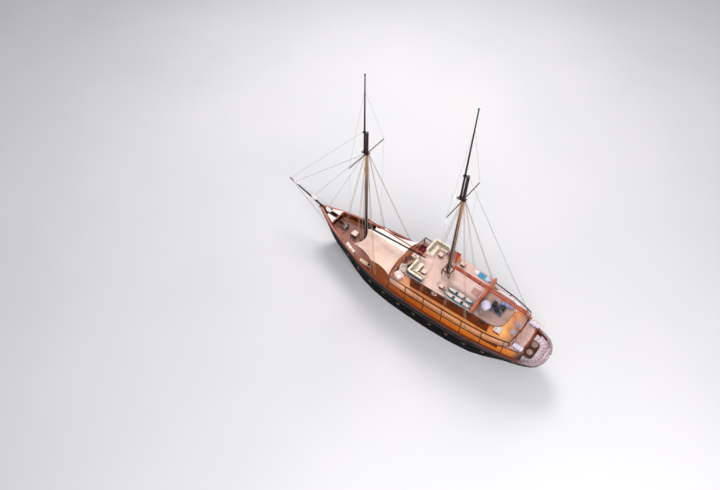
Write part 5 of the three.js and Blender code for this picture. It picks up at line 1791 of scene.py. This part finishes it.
def spars():
    paint_node("fore_boom", sprit_dark, 0)
    for node in ("fore_gaff", "main_boom", "main_gaff"):
        paint_node(node, spar_red, 0)
    for node, (heel, end, thick, thin, places) in SPARS.items():
        heel, end = Vector(heel), Vector(end)
        along = (end - heel).normalized()
        bands = Form()
        for share in places:
            foot = heel.lerp(end, share) - along * 0.035
            bands.band(foot, thick + (thin - thick) * share, 0.012, 0.07, 0.008, 16, along)
        bands.done(f"{node}_bands", iron, "grey_metal", node)
    tip = Form().lathe(end - along * 1.5, [(0.095, 0), (0.1, 0.01), (0.095, 1.48), (0.086, 1.5)], 20, along)
    tip.done("main_boom_tip", painted("boom_white", "dcc6be", "c0a8a0", 0.4), "white_paint", "main_boom")
    lacing = Form()
    for x in np.arange(-4.6, -12.0, -0.62):
        middle = heel.lerp(end, (x - heel.x) / (end.x - heel.x)) + UP * 0.165
        lacing.tube(oval(middle, (0, 0.125, 0), (0.02, 0, 0.3), 16), 0.01, 5)
    lacing.done("main_boom_lashings", pale_rope, "rigging_line", "main_boom")


paint_masts()
mast_ironwork()
fife_rail("fore", MASTS["foremast"])
fife_rail("aft", MASTS["aft_mast"])
spars()


# Standing and running rigging

PAIR = 0.11                              # half the distance between the two lines of a shroud
RATLINE_STEP = 0.36
RATLINES = (0.05, 0.97)                  # the shares of a shroud between which they are tied
NO_RATLINES = (1, 1)
BOBSTAYS = ((20.6, 0.07, (12.7, 1.2, 3.6), 0.012), (17.0, 0.1, (13.4, 1.1, 4.0), 0.01))
HALYARDS = ((-0.26, 0.47), (0.26, 0.47), (-0.26, -0.47), (0.26, -0.47), (-0.47, 0.26), (-0.47, -0.26))


class Rigging:
    """One mast's shrouds, the lines beside them and their lower ends."""

    def __init__(self, mast):
        self.mast = mast
        self.lines = Form()
        self.stays = Form()
        self.ends = Form()

    def at(self, x, y, below, mark="hounds"):
        """A point beside the mast, below its hounds or its head."""
        return Vector((self.mast["x"] + x, y, self.mast[mark] - below))

    def shroud(self, foot, ratlines=RATLINES):
        """Two lines from the iron band to the rail, with the steps tied between them."""
        out = Vector((foot.x - self.mast["x"], foot.y, 0)).normalized() * 0.24
        head = self.at(0, 0, 0.29) + out
        pair = []
        for shift in (-PAIR, PAIR):
            end = foot + Vector((shift, 0, 0))
            start = head + Vector((shift * 0.35, 0, 0))
            up = (start - end).normalized()
            pair.append((start, end))
            self.lines.tube([start, end + up * 0.3], 0.019, 6)
            self.ends.tube([end, end + up * 0.36], 0.022, 6)
            for step in (0.12, 0.32):
                deadeye = end + up * step - Vector((0, 0.022, 0))
                self.ends.band(deadeye, 0.03, 0.02, 0.044, 0.01, 12, (0, 1, 0))
        count = int((pair[0][1] - pair[0][0]).length / RATLINE_STEP)
        for k in range(count):
            share = (k + 0.5) / count
            if ratlines[0] < share < ratlines[1]:
                a, b = [start.lerp(end, share) for start, end in pair]
                self.lines.tube([a, (a + b) / 2 - UP * 0.008, b], 0.011, 5)

    def line(self, start, end, radius=0.012):
        self.stays.tube([start, end], radius, 6)

    def crosstree(self, side, foot, topmast_z):
        """The lines from a crosstree's end down to the foot and from the topmast down to it."""
        self.line(self.at(0, side * (CROSSTREE_HALF - 0.06), 0.8), foot, 0.008)
        start = (self.mast["x"] + 0.33, side * 0.1, topmast_z)
        self.line(start, self.at(0, side * (CROSSTREE_HALF - 0.03), 0), 0.009)

    def done(self, name, node):
        piece = self.lines.done(f"{name}_shrouds", tan_rope, "rigging_line")
        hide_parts(node)
        self.stays.done(f"{name}_stays", grey_rope, "rigging_line")
        self.ends.done(f"{name}_deadeyes", black_gloss, "grey_metal")


def on_cap(x, side):
    return Vector((x, side * (hull_edge(x) - 0.06), cap_top(x) + 0.004))


def on_upper_deck(x, side):
    edge = abs(side_of("upper_deck", x, EDGE_Z, side))
    return Vector((x, side * (edge - 0.13), UPPER_Z + 0.006))


def fore_rigging():
    rig = Rigging(MASTS["foremast"])
    mast_x = rig.mast["x"]
    for side in SIDES.values():
        rig.shroud(on_cap(10.7, side), NO_RATLINES)
        rig.shroud(on_cap(7.95, side))
        rig.shroud(on_cap(4.4, side), (0.05, 0.72))
        rig.crosstree(side, on_cap(mast_x - 0.1, side), 25.6)
        for x, out, on_skin, radius in BOBSTAYS:
            foot = skin_point(Vector(on_skin)) * Vector((1, side, 1))
            rig.line(sprit_at(x) + Vector((0, side * out, 0)), foot, radius)
    for x in (20.28, 17.35, 14.95):
        rig.line(rig.at(0.26, 0, 0.26), sprit_at(x) + UP * sprit_radius(x), 0.017)
    rig.line(rig.at(0.5, 0, 0.2, "head"), sprit_at(21.0) + UP * 0.07)
    rig.line(sprit_at(20.9) - UP * 0.07, (15.35, 0, 2.6), 0.014)
    rig.done("fore", "fore_rigging")


def aft_rigging():
    rig = Rigging(MASTS["aft_mast"])
    for side in SIDES.values():
        rig.shroud(on_upper_deck(-1.5, side), NO_RATLINES)
        rig.shroud(on_upper_deck(-4.9, side), NO_RATLINES)
        rig.shroud(on_upper_deck(-7.7, side), (0.05, 0.9))
        rig.crosstree(side, (rig.mast["x"] - 0.1, side * 3.44, UPPER_Z), 27.4)
    rig.line(rig.at(0.1, -0.2, 0.26), on_upper_deck(0.1, -1) - Vector((0, 0.05, 0)), 0.02)
    for x in (-13.3, -13.14):
        rig.line(rig.at(0, -0.16, 0.3, "head"), on_cap(x, -1) + Vector((0, 0.06, 0)), 0.01)
    rig.done("aft", "aft_rigging")


def halyards():
    """Ropes that run up each mast from its pins."""
    form = Form()
    for mast in MASTS.values():
        top = mast["hounds"] - 0.5
        for dx, dy in HALYARDS:
            reach = Vector((dx, dy, 0)).normalized() * (mast_radius(mast, top) + 0.05)
            start = (mast["x"] + dx, dy, mast["foot"] + 0.85)
            form.tube([start, (mast["x"] + reach.x, reach.y, top)], 0.012, 6)
    form.done("halyards", pale_rope, "rigging_line")


fore_rigging()
aft_rigging()
halyards()


# Aft roof: domes, equipment, bag

DOME = (-8.48, 1.18, 0.53)               # x, y and radius
SMALL_DOME = (-8.38, 1.99, 0.21)
ROOF_BOXES = ((-9.25, -8.85, -0.15, 0.45, 0.42), (-9.8, -9.4, 0.3, 0.9, 0.34),   # x, y and height
              (-10.25, -9.9, -0.25, 0.3, 0.3))
VENT = ((0.06, 0), (0.06, 0.14), (0.13, 0.17), (0.14, 0.21), (0.1, 0.25), (0.02, 0.26))
BAG_LENGTH = 1.3
BAG_RINGS = 24


def bulge(radius, middle, *degrees):
    """Points of a ball's profile about its middle."""
    return [(radius * math.cos(t), middle + radius * math.sin(t)) for t in np.radians(degrees)]


def domes():
    x, y, r = DOME
    profile = [(0.2, 0.0), (0.2, 0.14), (0.36, 0.17), *bulge(r, 0.7, -62, -40, -20, -4),
               (r + 0.012, 0.69), (r + 0.012, 0.72), *bulge(r, 0.7, 6, 22, 40, 58, 74, 88)]
    form = Form().lathe((x, y, ROOF_Z), profile, 40)
    dome_white = moulded("dome_white", "c4bccf", "aaa2b8", 0.4)
    piece = form.done("satellite_dome_shell", dome_white, "white_plastic", sharp=50)
    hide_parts("satellite_dome")
    x, y, r = SMALL_DOME
    profile = [(0.1, 0.0), (0.1, 0.1), (0.17, 0.14), (r, 0.22), (r, 0.34),
               *bulge(r, 0.34, 18, 36, 54, 72, 88)]
    small = Form().lathe((x, y, ROOF_Z), profile, 28)
    small.done("small_dome", moulded("dome_grey", "77736f", "5c5856", 0.4), "white_plastic", sharp=50)


def roof_equipment():
    low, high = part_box("roof_equipment")
    base = low.z + 0.05
    boxes, small = Form(), Form()
    board_form = Form().box(low, (high.x, high.y, base))
    piece = board_form.done("equipment_board", grey_gloss, "grey_metal", bevel=0.01)
    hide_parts("roof_equipment")
    for x0, x1, y0, y1, height in ROOF_BOXES:
        top = ROOF_Z + height
        boxes.box((x0 + 0.02, y0 + 0.02, base), (x1 - 0.02, y1 - 0.02, top - 0.05))
        boxes.box((x0, y0, top - 0.05), (x1, y1, top))
        for x in np.linspace(x0 + 0.08, x1 - 0.08, 4):
            boxes.box((x - 0.012, y0 + 0.005, base + 0.05), (x + 0.012, y1 - 0.005, top - 0.1))
    boxes.done("equipment_boxes", black_gloss, "grey_metal", bevel=0.012)
    for x, y in ((-9.02, 0.75), (-10.05, 0.78), (-9.6, 0.02)):
        small.lathe((x, y, base), VENT, 18)
    for k in range(4):
        centre = (-9.62, -0.14, base + 0.02 + 0.03 * k)
        small.ring(centre, 0.13 - 0.008 * k, 0.014, (0.05 * k, 0.03, 1), 20, 6)
    small.tube(smooth([(-8.9, 0.4, base + 0.02), (-8.7, 0.62, base + 0.01), (-8.62, 0.9, base)]), 0.012, 6)
    small.done("equipment_vents", iron, "grey_metal")


def bag():
    """A soft bag that lies on the roof, with its two straps."""
    form, straps = Form(), Form()
    centre = Vector((-10.15, -0.62, ROOF_Z + 0.155))
    along = Vector((1, 0.18, 0)).normalized()
    side = UP.cross(along)
    rings = []
    for i in range(BAG_RINGS + 1):
        t = i / BAG_RINGS
        swell = max(0.05, math.sin(math.pi * min(1, 0.04 + 0.92 * t))) ** 0.3
        middle = centre + along * BAG_LENGTH * (t - 0.5)
        ring = []
        for turn in angles(28):
            lump = noise.noise(Vector((math.cos(turn), math.sin(turn) * 1.2, 4.2 * t + 5)))
            wrinkle = 0.02 * math.sin(34 * t + 3 * math.cos(turn))
            r = swell * (1 + 0.2 * lump + wrinkle)
            up = max(-0.15, math.sin(turn) * 0.17 * r)
            ring.append(middle + side * math.cos(turn) * 0.29 * r + UP * up)
        rings.append(ring)
    form.loft(rings)
    stuffed_piece(form, "roof_bag", bag_cloth, "grey_metal")
    for t in (0.3, 0.7):
        middle = centre + along * BAG_LENGTH * (t - 0.5) - UP * 0.02
        turns = [math.pi * (k / 20 * 1.1 - 0.05) for k in range(21)]
        loop = [middle + side * math.cos(turn) * 0.325 + UP * math.sin(turn) * 0.2 for turn in turns]
        straps.tube(loop, 0.013, 5)
    straps.done("bag_straps", navy_cloth, "grey_metal")


domes()
roof_equipment()
bag()


# Stowed boat, raft canisters

TENDER_TUBE = 0.25                       # radius
CHOCK_XS = (-8.6, -10.2)
CANISTER_BODY = 0.255                    # radius
CANISTER_RIB = 0.262


def tender():
    low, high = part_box("tender")
    r = TENDER_TUBE
    z = high.z - r + 0.12
    middle_y = (low.y + high.y) / 2 + 0.02
    half = (high.y - low.y) / 2 - r + 0.06
    bow, stern = high.x - r, low.x
    floor_form, fittings, lines, chocks = Form(), Form(), Form(), Form()
    port = [(stern, half, 0.0), (stern + 0.5, half, 0.0), (stern + 1.9, half, 0.02),
            (bow - 0.55, half * 0.86, 0.06), (bow - 0.14, half * 0.46, 0.1), (bow, 0.0, 0.12)]
    starboard = [(x, -y, up) for x, y, up in reversed(port[:-1])]
    curve = smooth([(x, middle_y + y, z + up) for x, y, up in port + starboard], 6)
    radii = [r * min(1.0, 0.3 + (p.x - stern) / 0.42 * 0.7) for p in curve]
    piece = Form().tube(curve, radii, 24).done("tender_tubes", tube_fabric, "white_plastic", sharp=60)
    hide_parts("tender")
    rows = []
    for x in np.linspace(stern + 0.34, bow - 0.3, 14):
        share = max(0.0, x - (bow - 1.3))
        wide = half * (1 - 0.75 * share ** 2)
        keel = low.z + 0.1 + 0.22 * share ** 2
        rows.append([(x, middle_y + wide * t, keel + 0.12 * t ** 2) for t in np.linspace(1, -1, 9)])
    floor_form.loft(rows, closed=False)
    x = stern + 0.3
    floor_form.box((x, middle_y - half, low.z + 0.1), (x + 0.06, middle_y + half, high.z - 0.06))
    floor_form.done("tender_floor", grey_gloss, "grey_metal", sharp=50)
    for x in (stern + 0.85, stern + 1.75):
        fittings.box((x, middle_y - half, z + 0.02), (x + 0.24, middle_y + half, z + 0.07))
    fittings.box((stern + 1.25, middle_y - 0.22, low.z + 0.2), (stern + 1.5, middle_y + 0.22, z + 0.26))
    fittings.done("tender_seats", painted("seat_grey", "8a8488", "6b666c", 0.5), "grey_metal", bevel=0.015)
    for side in SIDES.values():
        rope = [(x, middle_y + side * (y + r * 0.99), z + up + 0.02) for x, y, up in port[1:4]]
        lines.tube(smooth(rope, 6), 0.012, 6)
        for x in (stern + 0.9, stern + 2.2):
            lines.ring((x, middle_y + side * half, z + 0.01), r + 0.005, 0.012, (1, 0, 0), 24, 6)
    lines.done("tender_lines", grey_rope, "rigging_line")
    foot = UPPER_Z + SKIN_STAND
    keel = low.z + 0.13
    section = ((-0.45, foot), (0.45, foot), (0.45, z - 0.1), (0.2, keel), (-0.2, keel), (-0.45, z - 0.1))
    for x in CHOCK_XS:
        chocks.loft([[(end, middle_y + y, height) for y, height in section] for end in (x - 0.05, x + 0.05)])
    chocks.done("tender_chocks", wall_dark, "dark_wood", bevel=0.01)


def canister(name):
    low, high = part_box(f"raft_canister_{name}")
    y, z = (low.y + high.y) / 2, UPPER_Z + 0.33
    foot = UPPER_Z + SKIN_STAND
    along = (1, 0, 0)
    body, rib = CANISTER_BODY, CANISTER_RIB
    straps, cradle = Form(), Form()
    length = high.x - low.x
    profile = [(0.02, 0), (0.2, 0.01), (body, 0.05), (rib, 0.1)]
    for share in (0.18, 0.34, 0.66, 0.82):
        groove = length * share
        profile += [(rib, groove - 0.03), (body, groove - 0.02), (body, groove + 0.02), (rib, groove + 0.03)]
    profile += [(rib, length - 0.1), (body, length - 0.05), (0.2, length - 0.01), (0.02, length)]
    shell = Form().lathe((low.x, y, z), profile, 32, along)
    piece = shell.done(f"canister_{name}_shell", canister_white, "white_plastic", sharp=50)
    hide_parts(f"raft_canister_{name}")
    for share in (0.26, 0.74):
        straps.band((low.x + length * share - 0.02, y, z), body, 0.015, 0.04, 0.004, 32, along)
    straps.band((low.x + length / 2 - 0.008, y, z), body, 0.023, 0.016, 0.001, 32, along)
    straps.done(f"canister_{name}_straps", strap_grey, "grey_metal")
    for share in (0.3, 0.7):
        x0, x1 = low.x + length * share - 0.04, low.x + length * share + 0.04
        cradle.box((x0, y - 0.26, foot), (x1, y + 0.26, z - 0.2))
        for side in SIDES.values():
            cradle.box((x0, y + side * 0.2, foot), (x1, y + side * 0.26, z - 0.04))
    cradle.done(f"canister_{name}_cradle", steel, "grey_metal", bevel=0.006)


tender()
canister("port")
canister("starboard")


# Stern: curved seat round its well, two tables, staff and flag

WELL_MIDDLE = Vector((-14.0, 0, 0))      # the middle of the open deck's round end
WELL_LEG = ((0.2, 0), (0.19, 0.02), (0.06, 0.05), (0.054, 0.48), (0.16, 0.5))
FLAG_REACH = 0.72                        # how far its folds would reach if it blew straight out
FLAG_FOLDS = 2.5
FLAG_SWING = 0.075
FLAG_STEP = FLAG_REACH / 60
STAFF_FOOT = (-16.15, 0.38)
STAFF_HEAD = (-16.5, 0.42)
TRUCK = ((0.012, 0), (0.026, 0.012), (0.03, 0.03), (0.02, 0.05), (0.004, 0.056))


def bearings(start, end, count):
    """Level directions between two bearings in degrees."""
    return [Vector((math.cos(t), math.sin(t), 0)) for t in np.radians(np.linspace(start, end, count))]


def stern_seat():
    base, seats = Form(), Form()
    start = WELL_MIDDLE + UP * (deck_top(-14.6) + 0.25)
    floor = deck_top(WELL_MIDDLE.x)
    marks = []
    for ahead in bearings(90, 270, 14):
        found = hit("stern_bench", start, ahead), hit("stern_bench", start + ahead * 6, -ahead)
        marks.append([Vector((p.x, p.y, floor)) for p in found])
    top = UP * BENCH_TOP
    base.loft([[inner, outer, outer + top, inner + top] for inner, outer in marks])
    base_paint = painted("seat_base_paint", "c9a79b", "a88478", 0.45)
    piece = base.done("stern_seat_base", base_paint, "cream_fabric", bevel=0.012)
    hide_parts("stern_bench")
    for (inner_a, outer_a), (inner_b, outer_b) in zip(marks, marks[1:]):
        corners = [p + UP * (BENCH_TOP - 0.01) for p in (inner_b, inner_a, outer_a, outer_b)]
        cushion(seats, corners, BENCH_CUSHION)
    for (inner_a, outer_a), (inner_b, outer_b) in zip(marks[1:], marks[2:-1]):
        in_a, in_b = (inner_a - outer_a).normalized(), (inner_b - outer_b).normalized()
        a, b = outer_a + UP * 0.42, outer_b + UP * 0.42
        corners = [b + in_b * 0.12, a + in_a * 0.12, a + UP * 0.28 + in_a * 0.02, b + UP * 0.28 + in_b * 0.02]
        cushion(seats, corners, -0.11, pillow_cover, 0.005)
    stuffed_piece(seats, "stern_seat_cushions", woven("seat_cloth", "dccad2", "c4aeb8"), "cream_fabric")


def stern_lining():
    """The pale lining of the bulwark behind the seat."""
    low, high = [], []
    for ahead in bearings(100, 260, 49):
        foot = hit("hull", WELL_MIDDLE + UP * (deck_top(WELL_MIDDLE.x) + 0.3), ahead)
        head = hit("hull", WELL_MIDDLE + UP * (cap_top(foot.x) - RAIL_DEPTH - 0.03), ahead)
        low.append(foot - ahead * SKIN_STAND)
        high.append(head - ahead * SKIN_STAND)
    form = Form().loft([low, high], closed=False)
    port = [(x, hull_edge(x) - 0.1) for x in np.linspace(-15.83, -16.16, 8)]
    shelf_z = cap_top(-15.9) - RAIL_DEPTH
    form.prism(port + [(x, -y) for x, y in reversed(port)], shelf_z - 0.01, shelf_z + 0.03)
    form.done("stern_lining", painted("lining_paint", "cdb6bc", "ad969e", 0.5), "cream_fabric")


def stern_tables():
    paint_node("stern_tables", painted("table_pink", "b79c9a", "9a807e", 0.45), 0.01)
    z = top_of("stern_tables", -14.1, 0)
    sole, legs = Form(), Form()
    for y in np.arange(-0.95, 0.95, 0.1):
        sole.box((-14.84, y, z - 0.002), (-14.01, y + 0.092, z + 0.012))
    well_wood = timber("well_wood", "7a5048", "543430", "X", 0.5, 0.05)
    sole.done("well_gratings", well_wood, "dark_wood", bevel=0.003)
    for side in SIDES.values():
        legs.lathe((-14.4, side * 0.56, z + 0.012), WELL_LEG, 20)
        legs.ring((-14.4, side * 0.56, z + 0.54), 0.345, 0.016, UP, 36, 8)
    legs.done("stern_table_legs", brass, "bronze")


def ensign():
    paint_node("ensign_staff", white_gloss, 0)
    low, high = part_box("ensign_staff")
    foot, head = Vector((*STAFF_FOOT, low.z)), Vector((*STAFF_HEAD, high.z))
    ball = Form().lathe(head - UP * 0.02, TRUCK, 14)
    ball.done("staff_truck", brass, "bronze")
    run, passed = [Vector((0, 0, 0))], 0.0
    while passed < FLAG_REACH:
        turn = math.tau * FLAG_FOLDS / FLAG_REACH
        slope = math.cos(turn * passed) * turn * FLAG_SWING
        run.append(run[-1] + Vector((0.62, slope, 0)).normalized() * FLAG_STEP)
        passed += FLAG_STEP
    rows = []
    for i, p in enumerate(run):
        t = i / (len(run) - 1)
        blown = Vector((p.x * 0.55 + 0.03, p.y * (0.4 + 0.6 * t) + 0.22 * p.x, -0.42 * p.x))
        rows.append([foot.lerp(head, 0.94 - 0.33 * down) + blown for down in np.linspace(0, 1, 17)])
    flag = Form().loft(rows, closed=False)
    bands = ((0.0, "e9e2e0"), (0.44, "e9e2e0"), (0.47, "b3352f"), (1.0, "a82f2b"))
    stripes = banded("flag_stripes", "Z", high.z - 0.62, high.z - 0.05, bands, 0.7)
    piece = flag.done("ensign", stripes, "white_fabric", sharp=80)


stern_seat()
stern_lining()
stern_tables()
ensign()
